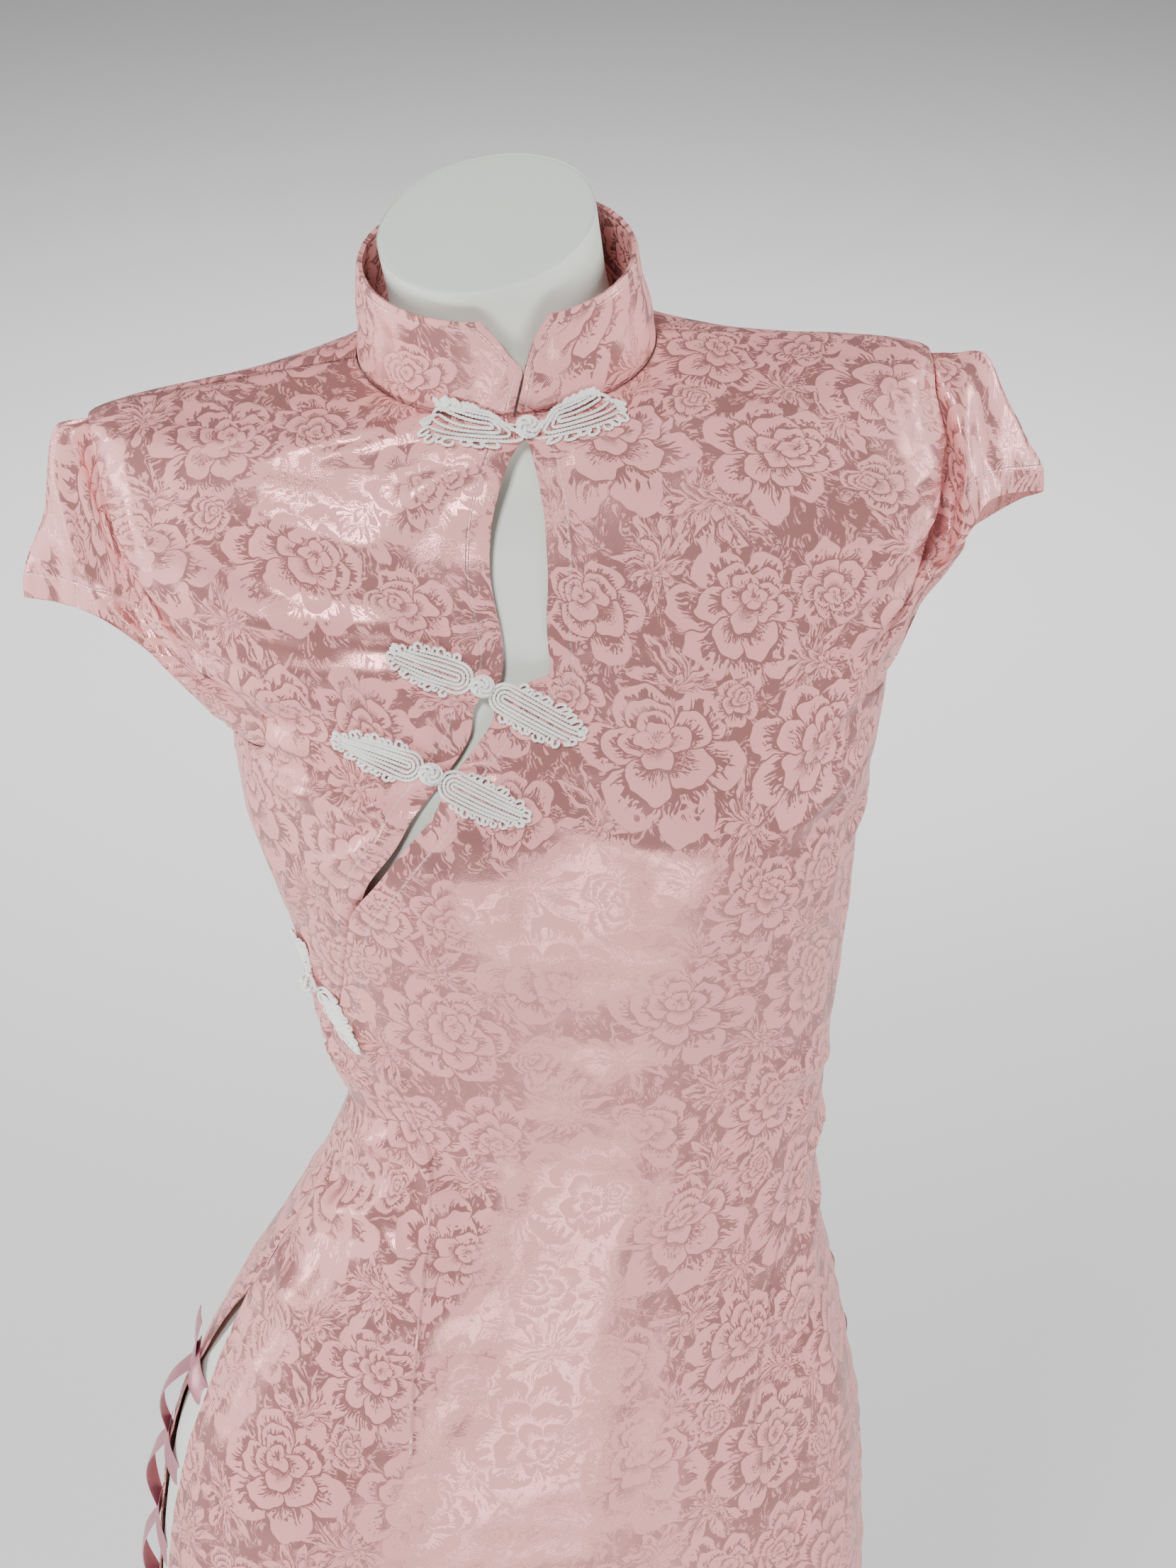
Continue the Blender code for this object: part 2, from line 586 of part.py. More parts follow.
def main_front(look, collection):
    """The front that crosses the chest to the right side seam and goes down to the hem."""
    levels = np.concatenate(
        [
            steps(NECKLINE, SHOULDER_POINT, 3),
            armhole_levels()[:-1],
            steps(UNDERARM, WAIST, 11),
            steps(WAIST, SLIT_TOP, 5),
            steps(SLIT_TOP, HEM, 8),
            [HEM],
        ]
    )
    corner = np.array([1.3345, 1.3300, 1.3240])
    levels = np.sort(np.concatenate([levels[np.abs(levels[:, None] - corner).min(1) > 0.003], corner]))
    levels = levels[::-1]
    edge = between(MAIN_EDGE, levels, "angle")
    left = np.where(levels > MAIN_EDGE[-1].level, edge, -90)
    left = np.maximum(left, -90 + side_edge(np.minimum(levels, UNDERARM), "front"))
    right = 90 - side_edge(levels, "front")
    panel("front_main", levels, left, right, FRONT_COLUMNS, look, collection)


def chest_front(look, collection):
    """The small right front, whose edge lies under the main front down to its flap."""
    levels = np.concatenate(
        [
            steps(NECKLINE, SHOULDER_POINT, 3),
            armhole_levels()[:-1],
            steps(UNDERARM, FLAP_FOOT, 10),
            [FLAP_FOOT],
        ]
    )
    left = -90 + side_edge(levels, "front")
    right = between(CHEST_EDGE, levels, "angle")

    def drop(angle, level):
        under = angle - between(MAIN_EDGE, level, "angle") + 6
        side = np.clip((angle + 90) / 3, 0, 1) * (level < 1.12) + (level >= 1.12)
        return -UNDERLAP_DROP * np.clip(under / 6, 0, 1) ** 2 * side

    panel("front_chest", levels, left, right, CHEST_COLUMNS, look, collection, drop)


def back_panel(look, collection):
    levels = np.concatenate(
        [
            steps(NECKLINE, SHOULDER_POINT, 3),
            armhole_levels()[:-1],
            steps(UNDERARM, WAIST, 7),
            steps(WAIST, SLIT_TOP, 4),
            steps(SLIT_TOP, HEM, 6),
            [HEM],
        ]
    )
    left = 90 + side_edge(levels, "back")
    right = 270 - side_edge(levels, "back")
    panel("back", levels, left, right, BACK_COLUMNS, look, collection)


def stand_collar(look, collection):
    levels = np.array(COLLAR_LEVELS)
    start = between(COLLAR_ENDS, levels, "left")
    end = 360 + between(COLLAR_ENDS, levels, "right")
    share = np.linspace(0, 1, COLLAR_COLUMNS)[None, :]
    angle = start[:, None] + (end - start)[:, None] * share
    level = np.repeat(levels[:, None], COLLAR_COLUMNS, axis=1)
    wall_object("collar", *behind(collar, angle, level, COLLAR_CLOTH), look, collection)


def cap_sleeve(name, hems, look, collection):
    turn = np.arange(0, 360, 180 / ARMHOLE_STEPS)[None, :]
    share = np.linspace(0, 1, SLEEVE_ROWS)[:, None]
    way = 1 if hems[0].side < 0 else -1

    def surface(a, b):
        return sleeve(hems, a * way, np.clip(b, 0, 1))

    turn, share = np.broadcast_arrays(turn, share)
    outer, inner = behind(surface, turn * 1.0, share * 1.0, -CLOTH, 2.0, 0.02)
    wall_object(name, outer, inner, look, collection, closed=True)


def across(angle, level, to_angle, to_level):
    """The steps of angle and level that go one metre along a line on the cloth, and one metre to its left."""
    middle = angle + (to_angle - angle) * 0.35
    height = level + (to_level - level) * 0.35
    by_angle = (over_neck(middle + 0.5, height) - over_neck(middle - 0.5, height)).ravel()
    by_level = (over_neck(middle, height + 0.002) - over_neck(middle, height - 0.002)).ravel() / 0.004
    along = by_angle * (to_angle - angle) + by_level * (to_level - level)
    length = np.linalg.norm(along)
    normal = np.cross(by_angle, by_level)
    side = np.cross(normal / np.linalg.norm(normal), along / length)
    basis = np.stack([by_angle, by_level], axis=1)
    ahead = np.array([to_angle - angle, to_level - level]) / length
    return ahead, np.linalg.lstsq(basis, side, rcond=None)[0], length


def frog_half(name, frog, to_angle, to_level, look, collection):
    """A leaf of looped cord laid on the cloth, from beside the knot to its scalloped far end."""
    along, aside, length = across(frog.angle, frog.level, to_angle, to_level)
    turn = np.radians(np.arange(0, 360, 22.5))
    reach = (length - FROG_NEAR) / 2
    scallop = 1 + 0.05 * np.cos(8 * turn) * (np.cos(turn) > -0.2)
    ahead = np.sign(np.cos(turn)) * np.abs(np.cos(turn)) ** 0.8
    aside_share = np.sign(np.sin(turn)) * np.abs(np.sin(turn)) ** 0.75 * (1 - 0.16 * np.cos(turn))
    shape = np.stack([reach * ahead * scallop, FROG_WIDTH * aside_share * scallop])
    sizes = np.array([1.0, 0.68, 0.45, 0.20])
    rises = np.array([0.60, 1.0, 0.72, 0.98])
    points = []
    for size, rise in zip(sizes, rises):
        s = FROG_NEAR + reach + shape[0] * size
        t = shape[1] * size
        angle = frog.angle + along[0] * s + aside[0] * t
        level = frog.level + along[1] * s + aside[1] * t
        points.append(laid(angle, level, LAID_ON + FROG_THICK * rise))
    s = FROG_NEAR + reach + shape[0] * sizes[0]
    angle = frog.angle + along[0] * s + aside[0] * shape[1]
    level = frog.level + along[1] * s + aside[1] * shape[1]
    middle = (frog.angle + along[0] * (FROG_NEAR + reach), frog.level + along[1] * (FROG_NEAR + reach))
    bm = bmesh.new()
    loops = [[bm.verts.new(point) for point in loop] for loop in points]
    loops.insert(0, [bm.verts.new(point) for point in laid(angle, level, LAID_ON)])
    inner_s = FROG_NEAR + reach + shape[0] * 0.5
    inner_angle = frog.angle + along[0] * inner_s + aside[0] * shape[1] * 0.5
    inner_level = frog.level + along[1] * inner_s + aside[1] * shape[1] * 0.5
    loops.insert(0, [bm.verts.new(point) for point in laid(inner_angle, inner_level, LAID_ON)])
    for lower, upper in zip(loops, loops[1:]):
        for j in range(len(lower)):
            k = (j + 1) % len(lower)
            bm.faces.new([lower[j], lower[k], upper[k], upper[j]])
    for loop, out in ((loops[0], LAID_ON), (loops[-1], LAID_ON + FROG_THICK * 0.8)):
        tip = bm.verts.new(laid(*middle, out).ravel())
        for j in range(len(loop)):
            bm.faces.new([loop[j], loop[(j + 1) % len(loop)], tip])
    bmesh.ops.recalc_face_normals(bm, faces=bm.faces)
    mesh = bpy.data.meshes.new(name)
    bm.to_mesh(mesh)
    bm.free()
    mesh.shade_smooth()
    mesh_object(name, mesh, look, collection)


def frog_knot(name, frog, look, collection):
    """The knot of cord that a frog's loop closes over."""
    centre = laid(frog.angle, frog.level, LAID_ON + KNOT_THICK).ravel()
    normal = Vector(outward(over_neck, np.array(frog.angle), np.array(frog.level), NECKLINE * 2).ravel())
    mesh = bpy.data.meshes.new(name)
    bm = bmesh.new()
    bmesh.ops.create_uvsphere(bm, u_segments=10, v_segments=5, radius=1)
    bm.to_mesh(mesh)
    bm.free()
    mesh.shade_smooth()
    obj = mesh_object(name, mesh, look, collection)
    obj.location = centre
    obj.rotation_mode = "QUATERNION"
    obj.rotation_quaternion = normal.to_track_quat("Z", "Y")
    obj.scale = (KNOT_RADIUS, KNOT_RADIUS, KNOT_THICK)


def ribbon_lace(name, right, look, collection):
    """One side's lacing: a run down the slit's back edge, looping out between the rungs, and the rungs that
    cross from it to under the front's edge."""
    levels = [RUNG_TOP + RUNG_PITCH * 0.5, RUNG_TOP + RUNG_PITCH * 0.3]
    for number in range(RUNGS):
        middle = RUNG_TOP - RUNG_PITCH * number
        levels += [middle + RIBBON_WIDTH / 2, middle - RIBBON_WIDTH / 2]
        levels += [middle - RUNG_PITCH * share for share in (0.25, 0.5, 0.75) if number < RUNGS - 1]
    levels = np.array(levels + [RUNG_TOP - RUNG_PITCH * (RUNGS - 0.75)])
    passed = (RUNG_TOP - (levels[:-1] + levels[1:]) / 2) / RUNG_PITCH
    crosses = np.abs(passed - np.round(passed)) < 0.1
    level = np.repeat(levels[:, None], 9, axis=1)
    half = slit(level)
    gone = half * np.array([-1, -1, -1, -0.5, 0, 0.5, 1, 1, 1]) + np.array([-6.2, -1, 0, 0, 0, 0, -2.5, 1, 4.5])
    on_run = np.broadcast_to(np.array([1, 1, 0, 0, 0, 0, 0, 0, 0]), level.shape)
    filled = np.repeat(crosses[:, None], 8, axis=1)
    filled[:, 0] = True
    over = LAID_ON + RIBBON
    under = -CLOTH - LAID_ON * 4

    def height(place, b):
        crossed = np.clip((place + slit(b) - 0.5) / (2 * slit(b) - 3.0), 0, 1)
        bulge = RUN_BULGE * np.sin(np.pi * (b - RUNG_TOP) / RUNG_PITCH) ** 2
        return over + (under - over) * crossed**2 * (3 - 2 * crossed) + bulge * on_run

    def surface(a, b):
        return dress(a, b, height(a + 90 if right else 90 - a, b))

    angle = gone - 90 if right else 90 - gone
    wall_object(name, *behind(surface, angle, level, RIBBON), look, collection, filled=filled)


def display_form(look, collection):
    """The smooth limbless form, closed at its foot and capped flat at the neck."""
    levels = np.array([row.level for row in FORM])
    levels = np.sort(np.concatenate([levels, (levels[3:] + levels[2:-1]) / 2]))[::-1]
    angles = np.arange(0, 360, 15.0)
    loops = [rings(FORM, angles, np.full(len(angles), level)) for level in levels]
    loft_object("form_torso", loops, look, collection)


def stand(look, collection):
    turned_object(
        "stand_pole",
        (
            (0, FORM_FOOT - SEAM_GAP),
            (FLANGE_RADIUS, FORM_FOOT - SEAM_GAP),
            (FLANGE_RADIUS, FORM_FOOT - FLANGE_DEPTH),
            (POLE_RADIUS, FORM_FOOT - FLANGE_DEPTH),
            (POLE_RADIUS, POLE_FOOT + SEAM_GAP),
            (0, POLE_FOOT + SEAM_GAP),
        ),
        look,
        collection,
        steps=24,
    )
    bore = POLE_RADIUS + SEAM_GAP
    turned_object(
        "stand_base",
        (
            (0, POLE_FOOT),
            (bore, POLE_FOOT),
            (bore, HUB_TOP),
            (HUB_RADIUS, HUB_TOP),
            (HUB_RADIUS, BASE_DEPTH),
            (BASE_RADIUS - 0.0015, BASE_DEPTH),
            (BASE_RADIUS, BASE_DEPTH - 0.0015),
            (BASE_RADIUS, 0),
            (0, 0),
        ),
        look,
        collection,
        steps=40,
    )


def main():
    clear_scene()
    parts = new_collection("dress_on_form")
    satin = material("satin", (0.62, 0.36, 0.34), 0.35)
    cord = material("cord", (0.80, 0.80, 0.76), 0.6)
    ribbon = material("ribbon", (0.45, 0.25, 0.29), 0.3)
    shell = material("form_shell", (0.78, 0.80, 0.76), 0.5)
    steel = material("stand_steel", (0.75, 0.75, 0.76), 0.3, 1.0)
    display_form(shell, parts)
    stand(steel, parts)
    main_front(satin, parts)
    chest_front(satin, parts)
    back_panel(satin, parts)
    stand_collar(satin, parts)
    cap_sleeve("sleeve_right", RIGHT_SLEEVE, satin, parts)
    cap_sleeve("sleeve_left", LEFT_SLEEVE, satin, parts)
    for number, frog in enumerate(FROGS, 1):
        frog_half(f"frog_{number}_right", frog, frog.right_angle, frog.right_level, cord, parts)
        frog_half(f"frog_{number}_left", frog, frog.left_angle, frog.left_level, cord, parts)
        frog_knot(f"frog_{number}_knot", frog, cord, parts)
    ribbon_lace("lace_right", True, ribbon, parts)
    ribbon_lace("lace_left", False, ribbon, parts)


main()
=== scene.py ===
"""The looks of the satin dress and its display form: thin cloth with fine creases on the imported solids'
surfaces, woven flowers, twisted cord frogs, ribbon lacing, the smooth form and its steel stand.

Metres, +Z up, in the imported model's frame. The front faces -Y. A place on the cloth is an angle round a ring,
0 at the middle of the front and 90 at the left side seam, and a level, as in the solids.
"""

from collections import namedtuple

import bmesh
import bpy
import numpy as np
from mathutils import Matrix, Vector


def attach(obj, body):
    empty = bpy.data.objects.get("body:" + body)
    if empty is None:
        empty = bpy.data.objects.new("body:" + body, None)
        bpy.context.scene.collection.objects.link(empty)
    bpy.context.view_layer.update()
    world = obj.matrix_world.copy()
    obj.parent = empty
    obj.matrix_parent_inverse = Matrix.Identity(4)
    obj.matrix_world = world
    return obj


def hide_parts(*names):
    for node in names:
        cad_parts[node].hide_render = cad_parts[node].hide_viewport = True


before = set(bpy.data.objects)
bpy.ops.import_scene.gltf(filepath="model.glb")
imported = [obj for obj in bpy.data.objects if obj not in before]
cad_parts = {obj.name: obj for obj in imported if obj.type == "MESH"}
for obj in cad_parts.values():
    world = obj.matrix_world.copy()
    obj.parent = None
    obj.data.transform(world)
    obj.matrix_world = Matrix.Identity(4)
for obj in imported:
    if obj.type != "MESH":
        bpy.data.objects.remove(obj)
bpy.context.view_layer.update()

# Cloth, seams and what is sewn on
CLOTH = 0.0016
COLLAR_CLOTH = 0.0024
RIBBON = 0.0010
SEAM_GAP = 0.0003
LAID_ON = 0.0006
UNDERLAP_DROP = 0.0036

# Levels of the dress
HEM = 0.575
SLIT_TOP = 0.935
UNDERARM = 1.272
SHOULDER_POINT = 1.433
NECKLINE = 1.500

# The stand
FORM_FOOT = 0.560
POLE_RADIUS = 0.0125
FLANGE_RADIUS = 0.045
FLANGE_DEPTH = 0.006
BASE_RADIUS = 0.165
BASE_DEPTH = 0.006
HUB_RADIUS = 0.024
HUB_TOP = 0.036
POLE_FOOT = 0.004

Section = namedtuple("Section", "level height shift fore half front back lean pitch drop turn square")

# The outside of the cloth. Shift and fore place the ring's middle, and half, front and back are its reach to
# the side, the front and the back. Lean lifts the left side, pitch lowers the front, drop lowers the back and
# turn swings the front to the left, in degrees. Square is 2 on an ellipse and more on a boxier ring.
DRESS = (
    Section(0.575, 0.575, -0.012, 0.004, 0.192, 0.118, 0.118, 0.0, 0.0, 0.0, 4.0, 2.35),
    Section(0.700, 0.700, -0.010, 0.004, 0.196, 0.119, 0.123, 0.0, 0.0, 0.0, 5.0, 2.35),
    Section(0.790, 0.790, -0.007, 0.004, 0.191, 0.118, 0.125, -1.0, 0.0, 0.0, 6.0, 2.30),
    Section(0.850, 0.850, -0.003, 0.004, 0.182, 0.115, 0.122, -1.5, 0.0, 0.0, 7.0, 2.25),
    Section(0.905, 0.905, 0.004, 0.003, 0.164, 0.108, 0.112, -1.5, 0.0, 0.0, 7.0, 2.20),
    Section(0.958, 0.958, 0.013, 0.002, 0.144, 0.100, 0.098, -1.0, 0.0, 0.0, 7.0, 2.15),
    Section(1.010, 1.010, 0.025, 0.000, 0.128, 0.094, 0.086, -0.5, 0.0, 0.0, 6.0, 2.10),
    Section(1.045, 1.045, 0.032, 0.000, 0.122, 0.092, 0.080, 0.0, 0.0, 0.0, 5.0, 2.10),
    Section(1.100, 1.100, 0.028, 0.000, 0.131, 0.097, 0.078, 1.0, 0.0, 0.0, 4.0, 2.10),
    Section(1.161, 1.161, 0.024, 0.000, 0.139, 0.106, 0.080, 2.0, 0.0, 0.0, 2.0, 2.15),
    Section(1.235, 1.235, 0.018, 0.000, 0.153, 0.110, 0.084, 3.0, 0.0, 0.0, 0.0, 2.20),
    Section(1.290, 1.290, 0.019, 0.002, 0.161, 0.104, 0.086, 3.0, 3.0, 0.0, 0.0, 2.30),
    Section(1.340, 1.336, 0.011, 0.004, 0.181, 0.096, 0.086, 3.0, 5.0, 0.0, 0.0, 2.35),
    Section(1.390, 1.382, 0.005, 0.006, 0.195, 0.086, 0.077, 3.0, 7.0, 4.0, 0.0, 2.30),
    Section(1.433, 1.421, -0.001, 0.010, 0.195, 0.070, 0.060, 2.8, 8.0, 20.0, 0.0, 2.20),
    Section(1.470, 1.4365, -0.002, 0.008, 0.135, 0.063, 0.054, 2.6, 11.5, 20.0, 2.0, 2.10),
    Section(1.500, 1.4445, -0.004, 0.003, 0.069, 0.054, 0.053, 1.6, 15.5, -6.0, 4.0, 2.05),
)

# The display form, from its closed foot to the flat cap on its neck
FORM = (
    Section(0.560, 0.560, -0.012, 0.004, 0.184, 0.111, 0.111, 0.0, 0.0, 0.0, 4.0, 2.3),
    Section(0.700, 0.700, -0.010, 0.004, 0.190, 0.113, 0.117, 0.0, 0.0, 0.0, 5.0, 2.3),
    Section(0.790, 0.790, -0.007, 0.004, 0.185, 0.112, 0.119, -1.0, 0.0, 0.0, 6.0, 2.3),
    Section(0.850, 0.850, -0.003, 0.004, 0.176, 0.109, 0.116, -1.5, 0.0, 0.0, 7.0, 2.2),
    Section(0.905, 0.905, 0.004, 0.003, 0.158, 0.102, 0.106, -1.5, 0.0, 0.0, 7.0, 2.2),
    Section(0.958, 0.958, 0.013, 0.002, 0.137, 0.093, 0.092, -1.0, 0.0, 0.0, 7.0, 2.1),
    Section(1.010, 1.010, 0.025, 0.000, 0.117, 0.081, 0.077, -0.5, 0.0, 0.0, 6.0, 2.1),
    Section(1.045, 1.045, 0.032, 0.000, 0.110, 0.077, 0.070, 0.0, 0.0, 0.0, 5.0, 2.1),
    Section(1.100, 1.100, 0.028, 0.000, 0.116, 0.081, 0.068, 1.0, 0.0, 0.0, 4.0, 2.1),
    Section(1.161, 1.161, 0.024, 0.000, 0.125, 0.088, 0.070, 2.0, 0.0, 0.0, 2.0, 2.1),
    Section(1.235, 1.235, 0.018, 0.000, 0.139, 0.095, 0.075, 3.0, 0.0, 0.0, 0.0, 2.2),
    Section(1.290, 1.290, 0.019, 0.002, 0.147, 0.092, 0.077, 3.0, 3.0, 0.0, 0.0, 2.3),
    Section(1.340, 1.336, 0.011, 0.004, 0.164, 0.085, 0.077, 3.0, 5.0, 0.0, 0.0, 2.3),
    Section(1.385, 1.378, 0.004, 0.006, 0.181, 0.076, 0.071, 3.0, 7.0, 4.0, 0.0, 2.3),
    Section(1.420, 1.4104, -0.001, 0.010, 0.184, 0.0586, 0.0559, 2.8, 8.6, 20.0, 0.0, 2.2),
    Section(1.460, 1.4345, -0.002, 0.008, 0.132, 0.0549, 0.0514, 2.6, 12.2, 20.0, 2.0, 2.1),
    Section(1.485, 1.4370, -0.004, 0.003, 0.062, 0.046, 0.043, 1.6, 15.0, -6.0, 4.0, 2.0),
    Section(1.505, 1.4560, -0.006, 0.002, 0.052, 0.044, 0.044, 4.0, 11.0, -8.0, 5.0, 2.0),
    Section(1.525, 1.4790, -0.009, 0.000, 0.049, 0.046, 0.045, 7.0, 12.0, -12.0, 5.0, 2.0),
    Section(1.550, 1.5040, -0.013, -0.004, 0.049, 0.050, 0.047, 10.0, 17.0, -17.0, 5.0, 2.0),
)

# A soft bust, the same on both sides, added in front of the rings
BUST_LEVEL = 1.230
BUST_APART = 0.076
BUST_WIDTH = 0.056
BUST_ABOVE = 0.062
BUST_BELOW = 0.088
BUST_REACH = 0.019

# Metres of cloth to one degree round the body: on the whole, round the knots and at the darts
ARC = 0.0026
KNOT_ARC = 0.0021
DART_ARC = 0.0019

# The largest folds of the worn cloth, each a soft ridge, or a trough where its rise is negative
Fold = namedtuple("Fold", "angle level to_angle to_level width rise")

FOLDS = (
    Fold(-78, 1.372, -30, 1.345, 0.017, 0.0045),
    Fold(-76, 1.330, -28, 1.312, 0.017, 0.0045),
    Fold(-60, 1.290, -34, 1.262, 0.019, 0.0030),
    Fold(78, 1.390, 38, 1.372, 0.019, 0.0040),
    Fold(74, 1.345, 40, 1.340, 0.019, 0.0040),
    Fold(-84, 1.070, -46, 1.020, 0.019, 0.0040),
    Fold(-66, 1.010, -34, 0.965, 0.020, 0.0045),
    Fold(-84, 0.985, -58, 0.925, 0.020, 0.0035),
    Fold(52, 0.930, 66, 0.850, 0.020, 0.0030),
    Fold(150, 1.060, 205, 1.035, 0.021, 0.0040),
    Fold(155, 1.005, 212, 0.990, 0.021, 0.0035),
    Fold(120, 1.330, 160, 1.300, 0.021, 0.0035),
    Fold(240, 1.330, 200, 1.295, 0.021, 0.0035),
)

# The armhole: how far its front and back edges stand from the side seam's line, as angles
Armhole = namedtuple("Armhole", "level front back")

ARMHOLE = (
    Armhole(1.272, 0.0, 0.0),
    Armhole(1.276, 20.0, 16.0),
    Armhole(1.285, 31.0, 25.0),
    Armhole(1.300, 33.5, 28.0),
    Armhole(1.318, 31.0, 27.0),
    Armhole(1.334, 24.0, 22.0),
    Armhole(1.350, 14.0, 16.0),
    Armhole(1.370, 9.0, 12.0),
    Armhole(1.395, 6.0, 9.0),
    Armhole(1.420, 4.5, 6.0),
    Armhole(1.430, 2.5, 3.0),
    Armhole(1.433, 0.0, 0.0),
)

# Each sleeve's hem, as places on a turn round the sleeve: 0 at the top, 90 in front, 180 under the arm.
# The pinch draws the sleeve in along its armhole.
Hem = namedtuple("Hem", "turn side fore height pinch")

RIGHT_SLEEVE = (
    Hem(0, -0.2320, 0.012, 1.321, 0.0095),
    Hem(30, -0.2135, -0.002, 1.324, 0.0040),
    Hem(60, -0.1956, -0.018, 1.324, 0.0060),
    Hem(90, -0.1800, -0.0270, 1.317, 0.0050),
    Hem(120, -0.1665, -0.0290, 1.302, 0.0020),
    Hem(150, -0.1510, -0.023, 1.279, 0.0000),
    Hem(180, -0.1420, -0.002, 1.261, 0.0000),
    Hem(210, -0.1535, 0.020, 1.260, 0.0000),
    Hem(240, -0.1661, 0.036, 1.267, 0.0020),
    Hem(270, -0.1840, 0.042, 1.282, 0.0040),
    Hem(300, -0.2012, 0.034, 1.300, 0.0040),
    Hem(330, -0.2170, 0.024, 1.312, 0.0040),
)

LEFT_SLEEVE = (
    Hem(0, 0.2515, 0.012, 1.357, 0.0120),
    Hem(30, 0.2296, -0.008, 1.365, 0.0060),
    Hem(60, 0.2160, -0.025, 1.367, 0.0030),
    Hem(90, 0.2080, -0.0315, 1.356, 0.0000),
    Hem(120, 0.1985, -0.0310, 1.338, 0.0000),
    Hem(150, 0.1862, -0.020, 1.312, 0.0000),
    Hem(180, 0.1826, 0.000, 1.279, 0.0000),
    Hem(210, 0.1974, 0.021, 1.297, 0.0010),
    Hem(240, 0.2135, 0.038, 1.319, 0.0020),
    Hem(270, 0.2245, 0.042, 1.326, 0.0040),
    Hem(300, 0.2339, 0.036, 1.336, 0.0050),
    Hem(330, 0.2437, 0.026, 1.347, 0.0070),
)
SLEEVE_DROOP = 0.9

# The first frog lies across the neck seam: from a level below it, how far the seam is smoothed, and how far
# the collar climbs for a step of level
NECK_BELOW = 1.430
NECK_EASE = 0.010
NECK_CLIMB = 0.27

# Half the side slit's width, as an angle, and how fast the slit opens below its top
SLIT_OPEN = 8.5
SLIT_SPREAD = 0.14

# The collar above the neckline, its levels counted from the seam
COLLAR = (
    Section(0.000, 1.4445, -0.004, 0.003, 0.0680, 0.0530, 0.052, 1.6, 15.5, -6.0, 4.0, 2.05),
    Section(0.015, 1.4590, -0.005, 0.002, 0.0665, 0.0545, 0.053, 1.8, 13.8, -8.0, 4.0, 2.05),
    Section(0.030, 1.4740, -0.007, 0.001, 0.0645, 0.0560, 0.054, 2.2, 12.4, -10.0, 4.0, 2.05),
    Section(0.044, 1.4880, -0.008, 0.000, 0.0630, 0.0575, 0.055, 2.8, 12.4, -12.0, 4.0, 2.05),
)
COLLAR_TOP = 0.044

# The collar's two front ends, as angles
CollarEnd = namedtuple("CollarEnd", "level right left")

COLLAR_ENDS = (
    CollarEnd(0.000, -3.4, -2.4),
    CollarEnd(0.012, -1.0, 0.0),
    CollarEnd(0.020, 0.8, 1.8),
    CollarEnd(0.028, -3.5, 5.0),
    CollarEnd(0.036, -7.5, 8.5),
    CollarEnd(0.044, -13.5, 14.0),
)

# The front opening: the angle of each edge at a level, from the neck to the side seam
Edge = namedtuple("Edge", "level angle")

MAIN_EDGE = (
    Edge(NECKLINE, -2.6),
    Edge(1.472, -0.8),
    Edge(1.449, 0.5),
    Edge(1.416, 1.0),
    Edge(1.393, 0.5),
    Edge(1.350, -0.4),
    Edge(1.334, -0.6),
    Edge(1.330, -4.0),
    Edge(1.324, -7.0),
    Edge(1.312, -9.2),
    Edge(1.297, -14.0),
    Edge(1.283, -18.5),
    Edge(1.269, -21.5),
    Edge(1.250, -28.0),
    Edge(1.229, -35.0),
    Edge(1.206, -43.8),
    Edge(1.185, -49.0),
    Edge(1.157, -56.0),
    Edge(1.139, -61.0),
    Edge(1.112, -70.5),
    Edge(1.086, -83.5),
    Edge(1.075, -90.0),
)

CHEST_EDGE = (
    Edge(NECKLINE, 1.0),
    Edge(1.468, 0.8),
    Edge(1.446, -0.4),
    Edge(1.428, -1.8),
    Edge(1.404, -4.2),
    Edge(1.382, -5.0),
    Edge(1.358, -4.8),
    Edge(1.334, -6.0),
    Edge(1.323, -10.0),
    Edge(1.304, -13.6),
    Edge(1.286, -19.2),
    Edge(1.267, -25.4),
    Edge(1.248, -30.5),
    Edge(1.225, -38.0),
    Edge(1.209, -42.5),
    Edge(1.196, -45.5),
    Edge(1.169, -51.0),
    Edge(1.140, -58.0),
    Edge(1.110, -66.0),
    Edge(1.085, -76.0),
)
FLAP_FOOT = 1.085

# Frog buttons: where each knot lies, and the far tip of the half on either side
Frog = namedtuple("Frog", "angle level right_angle right_level left_angle left_level")

FROGS = (
    Frog(0.4, 1.474, -30.5, 1.503, 27.5, 1.496),
    Frog(-8.6, 1.331, -19.9, 1.349, 0.5, 1.300),
    Frog(-21.0, 1.288, -36.8, 1.303, -6.7, 1.262),
    Frog(-73.0, 1.139, -77.5, 1.164, -57.5, 1.111),
)
FROG_NEAR = 0.0046

# Ribbon laced across each slit: where its rungs cross, the run that loops out between them and its shown wall
RIBBON_WIDTH = 0.014
RUNG_TOP = 0.872
RUNG_PITCH = 0.053
RUNGS = 6
RUN_BULGE = 0.0045
RIBBON_THIN = 0.00035


